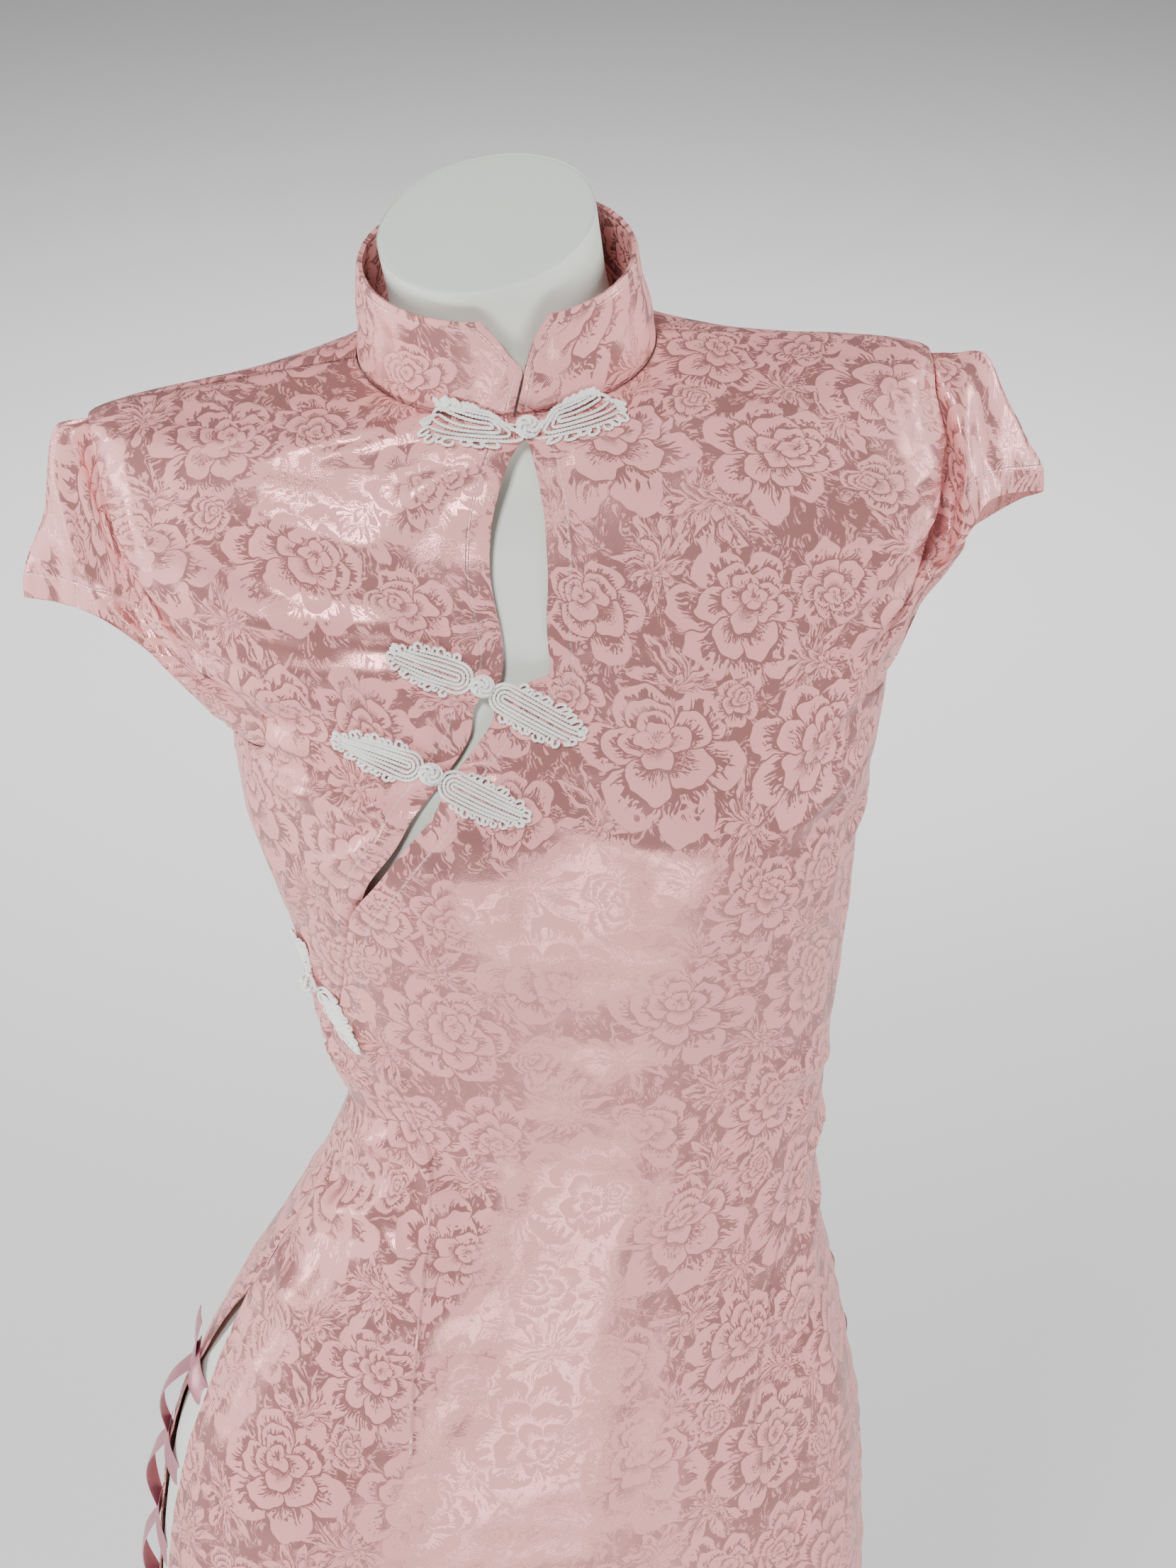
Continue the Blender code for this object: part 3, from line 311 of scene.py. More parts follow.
def between(table, level, column):
    """The column's value at each level, on a smooth curve through the table's rows."""
    levels = np.array([row.level for row in table])
    values = np.array([getattr(row, column) for row in table])
    if levels[0] > levels[-1]:
        levels = levels[::-1]
        values = values[::-1]
    steps = np.diff(levels)
    slopes = np.diff(values) / steps
    tangents = np.zeros(len(values))
    rising = slopes[:-1] * slopes[1:] > 0
    weighted = (slopes[:-1] * steps[1:] + slopes[1:] * steps[:-1]) / (steps[:-1] + steps[1:])
    limit = 2.5 * np.minimum(np.abs(slopes[:-1]), np.abs(slopes[1:]))
    tangents[1:-1] = np.where(rising, np.sign(weighted) * np.minimum(np.abs(weighted), limit), 0)
    tangents[0] = slopes[0]
    tangents[-1] = slopes[-1]
    level = np.clip(level, levels[0], levels[-1])
    at = np.clip(np.searchsorted(levels, level) - 1, 0, len(steps) - 1)
    t = (level - levels[at]) / steps[at]
    low = values[at] * (1 + 2 * t) * (1 - t) ** 2 + tangents[at] * steps[at] * t * (1 - t) ** 2
    high = values[at + 1] * t**2 * (3 - 2 * t) - tangents[at + 1] * steps[at] * t**2 * (1 - t)
    return low + high


def rings(table, angle, level):
    """Points on the sections' smooth surface, for angles in degrees and levels of the same shape."""
    angle, level = np.broadcast_arrays(np.asarray(angle, float), np.asarray(level, float))
    got = {name: between(table, level, name) for name in Section._fields[1:]}
    a = np.radians(angle)
    power = 2 / got["square"]
    side = np.sign(np.sin(a)) * np.abs(np.sin(a)) ** power
    ahead = np.sign(np.cos(a)) * np.abs(np.cos(a)) ** power
    x = got["half"] * side
    y = -np.where(ahead > 0, got["front"], got["back"]) * ahead
    for middle in (-BUST_APART, BUST_APART):
        height = np.where(level > BUST_LEVEL, BUST_ABOVE, BUST_BELOW)
        near = ((x - middle) / BUST_WIDTH) ** 2 + ((level - BUST_LEVEL) / height) ** 2
        y = y - BUST_REACH * np.exp(-near) * np.clip(ahead, 0, 1)
    turn = np.radians(got["turn"])
    x, y = x * np.cos(turn) - y * np.sin(turn), x * np.sin(turn) + y * np.cos(turn)
    fall = np.where(y < 0, np.tan(np.radians(got["pitch"])), -np.tan(np.radians(got["drop"])))
    z = np.tan(np.radians(got["lean"])) * x + fall * y
    return np.stack([got["shift"] + x, got["fore"] + y, got["height"] + z], axis=-1)


def unit(vectors):
    """The vectors brought to a length of one."""
    return vectors / np.linalg.norm(vectors, axis=-1, keepdims=True)


def along_line(points):
    """How far along a line of points each of them lies."""
    return np.concatenate([[0], np.cumsum(np.linalg.norm(np.diff(points, axis=0), axis=1))])


def outward(surface, angle, level, top=NECKLINE):
    """Unit normals of a surface that ends at a top level, pointing away from the body."""
    d_angle = 0.25
    d_level = 0.001
    across = surface(angle + d_angle, level) - surface(angle - d_angle, level)
    up = surface(angle, np.minimum(level + d_level, top)) - surface(angle, level - d_level)
    return unit(np.cross(across, up))


def fold_rise(angle, level):
    """How far the folds lift the cloth at a place."""
    rise = np.zeros(np.shape(angle))
    for fold in FOLDS:
        along = np.array([(fold.to_angle - fold.angle) * ARC, fold.to_level - fold.level])
        length = np.hypot(*along)
        dx = (angle - fold.angle) * ARC
        dz = level - fold.level
        share = np.clip((dx * along[0] + dz * along[1]) / length**2, 0, 1)
        off = np.hypot(dx - share * along[0], dz - share * along[1])
        taper = np.sin(np.pi * np.clip(share, 0.08, 0.92)) ** 0.7
        rise = rise + fold.rise * taper * np.exp(-((off / fold.width) ** 2))
    return rise


def dress_rings(angle, level):
    return rings(DRESS, angle, level)


def dress(angle, level, out=0.0):
    """Points on the worn cloth's outside, moved out by some metres."""
    angle, level = np.broadcast_arrays(np.asarray(angle, float), np.asarray(level, float))
    rise = fold_rise(angle, level) + out
    return dress_rings(angle, level) + outward(dress_rings, angle, level) * rise[..., None]


def collar(angle, level):
    return rings(COLLAR, angle, level)


def over_neck(angle, level):
    """The cloth's outside, which past the neckline goes on up the collar, smoothed across the seam."""
    angle, level = np.broadcast_arrays(np.asarray(angle, float), np.asarray(level, float))
    ease = NECK_EASE * np.clip((level - NECK_BELOW) / 0.02, 0, 1)
    total = np.zeros((*angle.shape, 3))
    for step in np.linspace(-1, 1, 9):
        at = level + ease * step
        below = dress(angle, np.minimum(at, NECKLINE))
        above = collar(angle, np.maximum(at - NECKLINE, 0) * NECK_CLIMB)
        total = total + np.where((at > NECKLINE)[..., None], above, below) / 9
    return total


def armhole(level, side):
    """How far the armhole's front or back edge stands from the side seam's line, 0 outside the armhole."""
    level = np.asarray(level, float)
    return np.where(level > UNDERARM, between(ARMHOLE, level, side), 0) * (level < SHOULDER_POINT)


def slit(level):
    """Half the side slit's opening angle at a level, 0 above the slit."""
    share = np.clip((SLIT_TOP - np.asarray(level, float)) / SLIT_SPREAD, 0, 1)
    return SLIT_OPEN * share * (2 - share)


def seam(level):
    """The angle that keeps an edge clear of the seam line."""
    return np.degrees(1.2 * SEAM_GAP / np.maximum(between(DRESS, level, "front"), 0.05))


def side_edge(level, side):
    """How far a panel's side edge stands from the side seam's line, as an angle."""
    return np.maximum(armhole(level, side), slit(level)) + seam(level)


def sleeve(hems, turn, share):
    """Points on a sleeve's outside, from its armhole at share 0 to its hem at share 1."""
    turn, share = np.broadcast_arrays(np.asarray(turn, float) % 360, np.asarray(share, float))
    right = hems[0].side < 0
    level = UNDERARM + (SHOULDER_POINT - UNDERARM) * (1 + np.cos(np.radians(turn))) / 2
    front = turn < 180
    gap = 2.5 * seam(level)
    from_side = np.where(front, armhole(level, "front"), armhole(level, "back"))
    from_side = np.maximum(from_side - gap, 0.3 * from_side) + 0.1 * np.abs(np.sin(np.radians(turn)))
    from_side = from_side * np.where(front, 1, -1)
    angle = -90 + from_side if right else 90 - from_side
    start = dress(angle, level, -CLOTH / 2)
    inset = 2.5 * SEAM_GAP * np.cos(np.radians(turn))
    start = start - np.stack([np.zeros(inset.shape), np.zeros(inset.shape), inset], axis=-1)
    ends = [hem._replace(turn=hem.turn + lap) for lap in (-360, 0, 360) for hem in hems]
    end = np.stack([between_turns(ends, turn, name) for name in ("side", "fore", "height")], axis=-1)
    corner = np.concatenate([end[..., :2], start[..., 2:]], axis=-1)
    droop = SLEEVE_DROOP * (1 + np.cos(np.radians(turn)))[..., None] / 2
    middle = (start + end) / 2 * (1 - droop) + corner * droop
    s = share[..., None]
    points = start * (1 - s) ** 2 + middle * 2 * s * (1 - s) + end * s**2
    centre = np.array([hems[0].side * 0.8, 0.005, (hems[0].height + hems[6].height) / 2])
    inward = unit(centre - points)
    puff = 2.7 * share * np.exp(-(((share - 0.24) / 0.13) ** 2)) * ((1 + np.cos(np.radians(turn))) / 2) ** 2
    pinch = between_turns(ends, turn, "pinch") * (np.sin(np.pi * share**1.25) ** 2 - puff)
    return points + inward * pinch[..., None]


def between_turns(rows, turn, column):
    """The column's value at each turn round the sleeve, on a smooth closed curve."""
    turns = np.array([row.turn for row in rows], float)
    values = np.array([getattr(row, column) for row in rows])
    slopes = np.gradient(values, turns)
    at = np.clip(np.searchsorted(turns, turn, side="right") - 1, 0, len(turns) - 2)
    step = turns[at + 1] - turns[at]
    t = (turn - turns[at]) / step
    low = values[at] * (1 + 2 * t) * (1 - t) ** 2 + slopes[at] * step * t * (1 - t) ** 2
    return low + values[at + 1] * t**2 * (3 - 2 * t) - slopes[at + 1] * step * t**2 * (1 - t)


def across(angle, level, to_angle, to_level):
    """The steps of angle and level that go one metre along a line on the cloth, and one metre to its left."""
    middle = angle + (to_angle - angle) * 0.35
    height = level + (to_level - level) * 0.35
    by_angle = (over_neck(middle + 0.5, height) - over_neck(middle - 0.5, height)).ravel()
    by_level = (over_neck(middle, height + 0.002) - over_neck(middle, height - 0.002)).ravel() / 0.004
    along = by_angle * (to_angle - angle) + by_level * (to_level - level)
    length = np.linalg.norm(along)
    normal = np.cross(by_angle, by_level)
    side = np.cross(normal / np.linalg.norm(normal), along / length)
    basis = np.stack([by_angle, by_level], axis=1)
    ahead = np.array([to_angle - angle, to_level - level]) / length
    return ahead, np.linalg.lstsq(basis, side, rcond=None)[0], length


# The visible cloth: its thickness, and how many rows and columns of points each piece has
THIN = 0.0009
NECK_ROWS = 19
ARMHOLE_ROWS = 52
FRONT_ROWS = 196
FRONT_COLUMNS = 134
CHEST_ROWS = 60
CHEST_COLUMNS = 64
BACK_ROWS = 170
BACK_COLUMNS = 116
COLLAR_ROWS = 22
COLLAR_COLUMNS = 190
SLEEVE_ROWS = 34
SLEEVE_STEP = 2.5

# A place inside the dress, that its cloth faces away from
BODY_MIDDLE = (0.01, 0.01, 1.1)

# The step along an edge in which distances to it are measured, and a distance past every dart's line
EDGE_STEP = 0.0015
NO_DART = 0.05

# The flat cut: above the bust its width is counted straight across, and on top it goes on over the shoulder
STRAIGHT_FROM = 1.29
STRAIGHT_OVER = 0.12
OVER_FROM = 1.35
OVER_EASE = 0.05
OVER_DEPTH = 0.062

# Creases of the worn cloth: a soft ridge from one place to another that bows to its side by some metres, with
# a shallow trough beside it
Crease = namedtuple("Crease", "angle level to_angle to_level bow width rise trough")
CREASES = (
    Crease(-66, 1.398, -17, 1.357, 0.004, 0.0065, 0.0056, 0.5),
    Crease(-60, 1.377, -22, 1.343, -0.003, 0.0055, 0.0048, 0.5),
    Crease(-66, 1.350, -12, 1.336, 0.005, 0.0070, 0.0048, 0.6),
    Crease(-72, 1.328, -33, 1.318, -0.004, 0.0060, 0.0042, 0.4),
    Crease(-64, 1.290, -34, 1.301, 0.003, 0.0055, 0.0039, 0.5),
    Crease(-64, 1.262, -27, 1.266, -0.004, 0.0060, 0.0039, 0.4),
    Crease(-23, 1.283, -45, 1.246, 0.004, 0.0045, 0.0034, 0.5),
    Crease(-30, 1.262, -52, 1.224, -0.003, 0.0050, 0.0031, 0.4),
    Crease(-54, 1.218, -72, 1.180, 0.004, 0.0060, 0.0028, 0.4),
    Crease(-10, 1.345, -12, 1.385, 0.003, 0.0060, 0.0031, 0.5),
    Crease(-14, 1.392, -52, 1.418, 0.004, 0.0090, 0.0031, 0.4),
    Crease(-6, 1.432, -17, 1.405, 0.003, 0.0050, 0.0025, 0.4),
    Crease(6, 1.436, 14, 1.404, 0.002, 0.0050, 0.0022, 0.4),
    Crease(79, 1.398, 31, 1.372, 0.007, 0.0100, 0.0045, 0.4),
    Crease(75, 1.372, 40, 1.337, 0.004, 0.0080, 0.0039, 0.5),
    Crease(70, 1.338, 46, 1.322, -0.003, 0.0070, 0.0031, 0.4),
    Crease(60, 1.296, 30, 1.258, 0.004, 0.0080, 0.0036, 0.4),
    Crease(68, 1.256, 37, 1.236, -0.003, 0.0070, 0.0034, 0.5),
    Crease(84, 1.215, 58, 1.196, 0.003, 0.0070, 0.0025, 0.4),
    Crease(2, 1.312, 21, 1.286, -0.004, 0.0080, 0.0028, 0.5),
    Crease(-8, 1.276, 14, 1.238, 0.004, 0.0080, 0.0025, 0.4),
    Crease(-92, 1.046, -48, 1.064, 0.009, 0.0070, 0.0053, 0.5),
    Crease(-50, 1.060, -38, 1.018, 0.003, 0.0060, 0.0042, 0.5),
    Crease(-88, 1.002, -54, 1.016, 0.007, 0.0075, 0.0053, 0.5),
    Crease(-58, 1.012, -36, 0.986, 0.003, 0.0065, 0.0039, 0.4),
    Crease(-86, 0.958, -40, 0.956, 0.006, 0.0085, 0.0042, 0.4),
    Crease(-84, 1.104, -57, 1.078, 0.004, 0.0060, 0.0034, 0.5),
    Crease(-60, 1.130, -44, 1.086, 0.003, 0.0070, 0.0028, 0.4),
    Crease(78, 1.066, 38, 1.088, -0.004, 0.0070, 0.0036, 0.4),
    Crease(82, 1.030, 60, 1.012, 0.003, 0.0065, 0.0034, 0.5),
    Crease(66, 0.950, 23, 0.936, -0.005, 0.0100, 0.0028, 0.4),
    Crease(80, 0.985, 58, 0.962, 0.003, 0.0080, 0.0031, 0.4),
    Crease(-12, 1.128, 10, 1.100, 0.004, 0.0130, 0.0017, 0.4),
    Crease(-18, 0.905, -9, 0.660, 0.010, 0.0200, 0.0022, 0.5),
    Crease(28, 0.880, 24, 0.640, -0.008, 0.0220, 0.0020, 0.5),
    Crease(-52, 0.880, -44, 0.690, 0.008, 0.0180, 0.0018, 0.4),
    Crease(4, 0.760, 8, 0.590, 0.006, 0.0180, 0.0016, 0.4),
    Crease(104, 1.380, 146, 1.352, 0.006, 0.0090, 0.0030, 0.5),
    Crease(108, 1.345, 142, 1.330, -0.004, 0.0075, 0.0024, 0.4),
    Crease(256, 1.382, 214, 1.350, 0.006, 0.0090, 0.0030, 0.5),
    Crease(250, 1.340, 218, 1.334, -0.004, 0.0070, 0.0024, 0.4),
    Crease(112, 1.285, 140, 1.262, 0.004, 0.0080, 0.0022, 0.4),
    Crease(250, 1.288, 222, 1.258, 0.004, 0.0080, 0.0022, 0.4),
    Crease(140, 1.086, 214, 1.078, 0.010, 0.0085, 0.0030, 0.5),
    Crease(122, 1.052, 186, 1.044, 0.008, 0.0080, 0.0032, 0.5),
    Crease(168, 1.020, 240, 1.030, -0.007, 0.0075, 0.0030, 0.5),
    Crease(110, 1.010, 160, 0.996, 0.006, 0.0080, 0.0024, 0.4),
    Crease(204, 0.986, 254, 0.992, 0.004, 0.0080, 0.0024, 0.4),
    Crease(160, 0.780, 164, 0.610, 0.008, 0.0200, 0.0022, 0.5),
    Crease(206, 0.800, 198, 0.620, -0.008, 0.0200, 0.0020, 0.5),
)

# Darts, each a stitched line through places on the front and the back
Place = namedtuple("Place", "angle level")
DARTS = (
    (Place(-49, 1.122), Place(-47.5, 1.072), Place(-43.5, 1.032), Place(-40.5, 1.007), Place(-33.5, 0.958),
     Place(-26, 0.894)),
    (Place(76, 1.062), Place(56, 1.018), Place(46.5, 0.980), Place(39, 0.931), Place(33, 0.880)),
    (Place(142, 1.170), Place(141, 1.100), Place(139, 1.045), Place(143, 0.980), Place(147, 0.925)),
    (Place(218, 1.170), Place(219, 1.100), Place(221, 1.045), Place(217, 0.980), Place(213, 0.925)),
)

# The woven repeat, in millimetres, and its flowers: where each lies, how far it reaches, how many petals its
# outer ring has, how deep they are parted, how it is turned, as a share of a turn, and how far it lies in
# front of its neighbours
REPEAT = (190.0, 138.0)
Flower = namedtuple("Flower", "across up reach petals bite turn front")
FLOWERS = (
    Flower(41, 41, 37, 6, 0.34, 0.10, 0.90),
    Flower(112, 34, 33, 7, 0.30, 0.36, 0.82),
    Flower(168, 76, 34, 6, 0.36, 0.62, 0.78),
    Flower(85, 99, 32, 7, 0.32, 0.05, 0.70),
    Flower(21, 108, 23, 5, 0.36, 0.80, 0.86),
    Flower(130, 110, 22, 6, 0.34, 0.25, 0.90),
    Flower(3, 71, 15, 5, 0.30, 0.50, 0.94),
    Flower(161, 18, 18, 5, 0.36, 0.15, 0.88),
    Flower(76, 64, 13, 5, 0.30, 0.70, 0.96),
    Flower(77, 9, 25, 9, 0.80, 0.00, 0.30),
    Flower(143, 55, 22, 8, 0.85, 0.40, 0.28),
    Flower(53, 76, 25, 9, 0.82, 0.20, 0.26),
    Flower(115, 74, 23, 8, 0.80, 0.65, 0.24),
    Flower(168, 122, 25, 9, 0.85, 0.30, 0.22),
    Flower(53, 126, 21, 8, 0.80, 0.55, 0.32),
    Flower(9, 16, 23, 8, 0.84, 0.90, 0.20),
)


def crease_rise(angle, level):
    """How far the creases lift the cloth at a place."""
    rise = np.zeros(np.shape(angle))
    for crease in CREASES:
        run = (crease.to_angle - crease.angle) * ARC
        climb = crease.to_level - crease.level
        length = np.hypot(run, climb)
        dx = (angle - crease.angle) * ARC
        dz = level - crease.level
        share = (dx * run + dz * climb) / length**2
        inside = np.clip(share, 0, 1)
        beyond = (share - inside) * length
        off = (dx * climb - dz * run) / length - crease.bow * 4 * inside * (1 - inside)
        width = crease.width * (0.75 + 0.5 * inside)
        taper = np.sin(np.pi * np.clip(inside, 0.04, 0.96)) ** 0.6 * np.exp(-((beyond / 0.008) ** 2))
        ridge = np.exp(-np.abs(off / width) ** 1.7)
        trough = np.exp(-(((off + 1.9 * width) / width) ** 2)) * crease.trough
        rise = rise + crease.rise * taper * (ridge - trough)
    return rise


def pucker_rise(angle, level):
    """The small pulls that spread from each knot."""
    rise = np.zeros(np.shape(angle))
    for number, frog in enumerate(FROGS):
        dx = (angle - frog.angle) * KNOT_ARC
        dz = level - frog.level
        away = np.hypot(dx, dz)
        turn = np.arctan2(dz, dx)
        pull = np.sin(7 * turn + number * 1.7 + 60 * away) + 0.6 * np.sin(11 * turn + 2.1 * number)
        rise = rise + 0.0008 * pull * (away / 0.008) * np.exp(-((away / 0.017) ** 1.5))
    return rise


def uneven(angle, level):
    """The slight unevenness of hanging satin."""
    x = angle * ARC
    rise = 0.0007 * np.sin(61 * x + 23 * level + 1.3) * np.sin(37 * level - 19 * x + 0.4)
    rise = rise + 0.0005 * np.sin(118 * x - 64 * level) * np.sin(71 * level + 47 * x + 2.0)
    return rise + 0.00025 * np.sin(190 * x + 133 * level + 0.7) * np.sin(167 * level - 121 * x)


def worn_rise(angle, level):
    """How far the worn cloth stands out from its solid at a place, easing to nothing at the neckline."""
    rise = crease_rise(angle, level) + pucker_rise(angle, level) + uneven(angle, level)
    return rise * np.clip((NECKLINE - level) / 0.03, 0, 1)


def worn(angle, level, out=0.0):
    """Points on the visible cloth's outside, with its creases."""
    angle, level = np.broadcast_arrays(np.asarray(angle, float), np.asarray(level, float))
    return dress(angle, level, out + worn_rise(angle, level))


def facing(points, centre, closed=False):
    """Unit normals of a grid of points, pointing away from a centre."""
    if closed:
        along = np.roll(points, -1, 1) - np.roll(points, 1, 1)
    else:
        along = np.gradient(points, axis=1)
    normal = np.cross(np.gradient(points, axis=0), along)
    normal = normal / np.maximum(np.linalg.norm(normal, axis=-1, keepdims=True), 1e-12)
    if np.sum(normal * (points - centre)) < 0:
        normal = -normal
    return normal


def from_edge(points, edge):
    """Each point's distance to a line of points, and how far along that line its nearest place is."""
    along = along_line(edge)
    fine = np.arange(0, along[-1], EDGE_STEP)
    line = np.stack([np.interp(fine, along, edge[:, n]) for n in range(3)], axis=1)
    flat = points.reshape(-1, 3)
    best = np.full(len(flat), 1.0)
    place = np.zeros(len(flat))
    for start in range(0, len(line), 48):
        gap = np.linalg.norm(flat[:, None] - line[None, start : start + 48], axis=2)
        nearest = gap.argmin(1)
        least = gap[np.arange(len(flat)), nearest]
        place = np.where(least < best, fine[np.minimum(nearest + start, len(fine) - 1)], place)
        best = np.minimum(best, least)
    return best.reshape(points.shape[:-1]), place.reshape(points.shape[:-1])


def from_edges(points, edges):
    """The same for the nearest of several lines."""
    best = np.full(points.shape[:-1], 1.0)
    place = np.zeros(points.shape[:-1])
    for edge in edges:
        if len(edge) < 2:
            continue
        least, along = from_edge(points, edge)
        place = np.where(least < best, along, place)
        best = np.minimum(best, least)
    return best, place


def dart_marks(angle, level):
    """The signed distance to the nearest dart's line, and 1 along the dart fading to 0 past its ends."""
    best = np.full(angle.shape, NO_DART)
    on = np.zeros(angle.shape)
    for dart in DARTS:
        levels = np.array([place.level for place in dart])[::-1]
        angles = np.array([place.angle for place in dart])[::-1]
        line = np.interp(level, levels, angles)
        slope = np.gradient(angles, levels).mean() * DART_ARC
        off = (angle - line) * DART_ARC / np.hypot(1, slope)
        past = np.maximum(levels[0] - level, 0) + np.maximum(level - levels[-1], 0)
        near = np.abs(off) < np.abs(best)
        best = np.where(near, off, best)
        on = np.where(near, np.clip(1 - past / 0.01, 0, 1), on)
    return best, on


def no_darts(shape):
    return {"dart": np.full(shape, NO_DART), "dart_on": np.zeros(shape)}


def finish_cloth(points, centre, stitched, sewn, closed=False):
    """Folded margins along stitched edges, and the ditch and puckers along seams."""
    hem, along_hem = from_edges(points, stitched)
    seam_gap, along_seam = from_edges(points, sewn)
    fold = 0.00045 * np.clip((0.011 - hem) / 0.002, 0, 1)
    wave = np.sin(2 * np.pi * along_hem / 0.017 + 2.3 * np.sin(along_hem / 0.021))
    rise = fold + 0.00045 * wave * np.exp(-((hem - 0.010) / 0.008) ** 2)
    wave = np.sin(2 * np.pi * along_seam / 0.013 + 2.0 * np.sin(along_seam / 0.017))
    rise = rise - 0.0007 * np.exp(-((seam_gap / 0.0030) ** 2))
    rise = rise + 0.0005 * wave * (seam_gap / 0.006) * np.exp(-seam_gap / 0.006)
    points = points + facing(points, centre, closed) * rise[..., None]
    return points, {"stitched": hem, "along": along_hem, "sewn": seam_gap} | no_darts(hem.shape)


def cut_mesh(name, points, faces, uv):
    """A mesh with its cut's own UV map, which has one place for each corner of each face."""
    mesh = bpy.data.meshes.new(name)
    mesh.from_pydata(points.tolist(), [], faces.tolist())
    layer = mesh.uv_layers.new(name="cut")
    layer.data.foreach_set("uv", uv.astype(np.float32).ravel())
    return mesh


def face_out(mesh):
    """Turn every face of a closed mesh to its outside."""
    bm = bmesh.new()
    bm.from_mesh(mesh)
    bmesh.ops.recalc_face_normals(bm, faces=bm.faces)
    bm.to_mesh(mesh)
    bm.free()


def tube_faces(rows, columns):
    """The faces of a closed tube of rings of points, with a face over each end."""
    i, j = np.meshgrid(np.arange(rows - 1) * columns, np.arange(columns), indexing="ij")
    k = (j + 1) % columns
    faces = np.stack([i + j, i + k, i + columns + k, i + columns + j], -1).reshape(-1, 4).tolist()
    faces.append(list(range(columns))[::-1])
    faces.append([(rows - 1) * columns + n for n in range(columns)])
    return faces


def cloth_piece(name, outer, centre, look, uv, marks, closed=False, thin=THIN):
    """A thin wall behind a grid of points, with its cut's own UV map, in metres, and its edge marks."""
    rows, columns = outer.shape[:2]
    inner = outer - facing(outer, centre, closed) * thin
    points = np.concatenate([outer.reshape(-1, 3), inner.reshape(-1, 3)])
    count = rows * columns
    wide = uv.shape[1]
    i, j = np.meshgrid(np.arange(rows - 1), np.arange(columns if closed else columns - 1), indexing="ij")
    i = i.ravel()
    j = j.ravel()
    k = (j + 1) % columns
    quads = np.stack([i * columns + j, (i + 1) * columns + j, (i + 1) * columns + k, i * columns + k], 1)
    on_cut = np.stack([i * wide + j, (i + 1) * wide + j, (i + 1) * wide + j + 1, i * wide + j + 1], 1)
    borders = [(i == 0, 3, 0), (i == rows - 2, 1, 2)]
    if not closed:
        borders += [(j == 0, 0, 1), (j == columns - 2, 2, 3)]
    faces = [quads, quads[:, ::-1] + count]
    cuts = [on_cut, on_cut[:, ::-1]]
    for chosen, start, end in borders:
        a = quads[chosen, start]
        b = quads[chosen, end]
        faces.append(np.stack([b, a, a + count, b + count], 1))
        cuts.append(np.stack([on_cut[chosen, n] for n in (end, start, start, end)], 1))
    mesh = cut_mesh(name, points, np.concatenate(faces), uv.reshape(-1, 2)[np.concatenate(cuts).ravel()])
    for mark, values in marks.items():
        attribute = mesh.attributes.new(mark, "FLOAT", "POINT")
        attribute.data.foreach_set("value", np.tile(values.ravel(), 2).astype(np.float32))
    face_out(mesh)
    return shown_mesh(name, mesh, look)


def shown_mesh(name, mesh, look, sharp=50):
    mesh.shade_smooth()
    mesh.set_sharp_from_angle(angle=np.radians(sharp))
    mesh.materials.append(look)
    obj = bpy.data.objects.new(name, mesh)
    bpy.context.scene.collection.objects.link(obj)
    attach(obj, "root")
    return obj


def fine_levels(bottom, rows):
    """A panel's levels from the neckline down, closest together at the armhole's ends."""
    turn = np.linspace(0, np.pi, ARMHOLE_ROWS + 1)[:-1]
    above = np.linspace(NECKLINE, SHOULDER_POINT, NECK_ROWS)[:-1]
    arm = UNDERARM + (SHOULDER_POINT - UNDERARM) * (1 + np.cos(turn)) / 2
    return np.concatenate([above, arm, np.linspace(UNDERARM, bottom, rows)])


def arc_table(levels):
    """The length along each level's ring from the middle of the front, by angle."""
    angles = np.arange(-130.0, 321.0, 2.0)
    points = dress_rings(angles[None, :], levels[:, None])
    steps = np.linalg.norm(np.diff(points, axis=1), axis=2)
    along = np.concatenate([np.zeros((len(levels), 1)), np.cumsum(steps, axis=1)], axis=1)
    return angles, along


def cut_uv(points, angle, level, middle, offset):
    """Where each point lay on the flat cloth, in metres: across, along the ring below the bust and straight
    above it, and up the cloth, over the shoulders."""
    angles, along = arc_table(level[:, 0])
    around = np.stack([np.interp(a, angles, s) - np.interp(middle, angles, s) for a, s in zip(angle, along)])
    centre = dress_rings(np.full(len(level), float(middle)), level[:, 0])[:, 0][:, None]
    straight = (points[..., 0] - centre) * (1 if middle < 90 else -1)
    share = np.clip((level - STRAIGHT_FROM) / STRAIGHT_OVER, 0, 1)
    share = share * share * (3 - 2 * share)
    u = around * (1 - share) + straight * share
    behind = points[..., 1] if middle < 90 else -points[..., 1]
    over = np.maximum(behind + OVER_DEPTH, 0)
    v = points[..., 2] + 0.8 * over * np.clip((level - OVER_FROM) / OVER_EASE, 0, 1)
    return np.stack([u + offset[0], v + offset[1]], axis=-1)


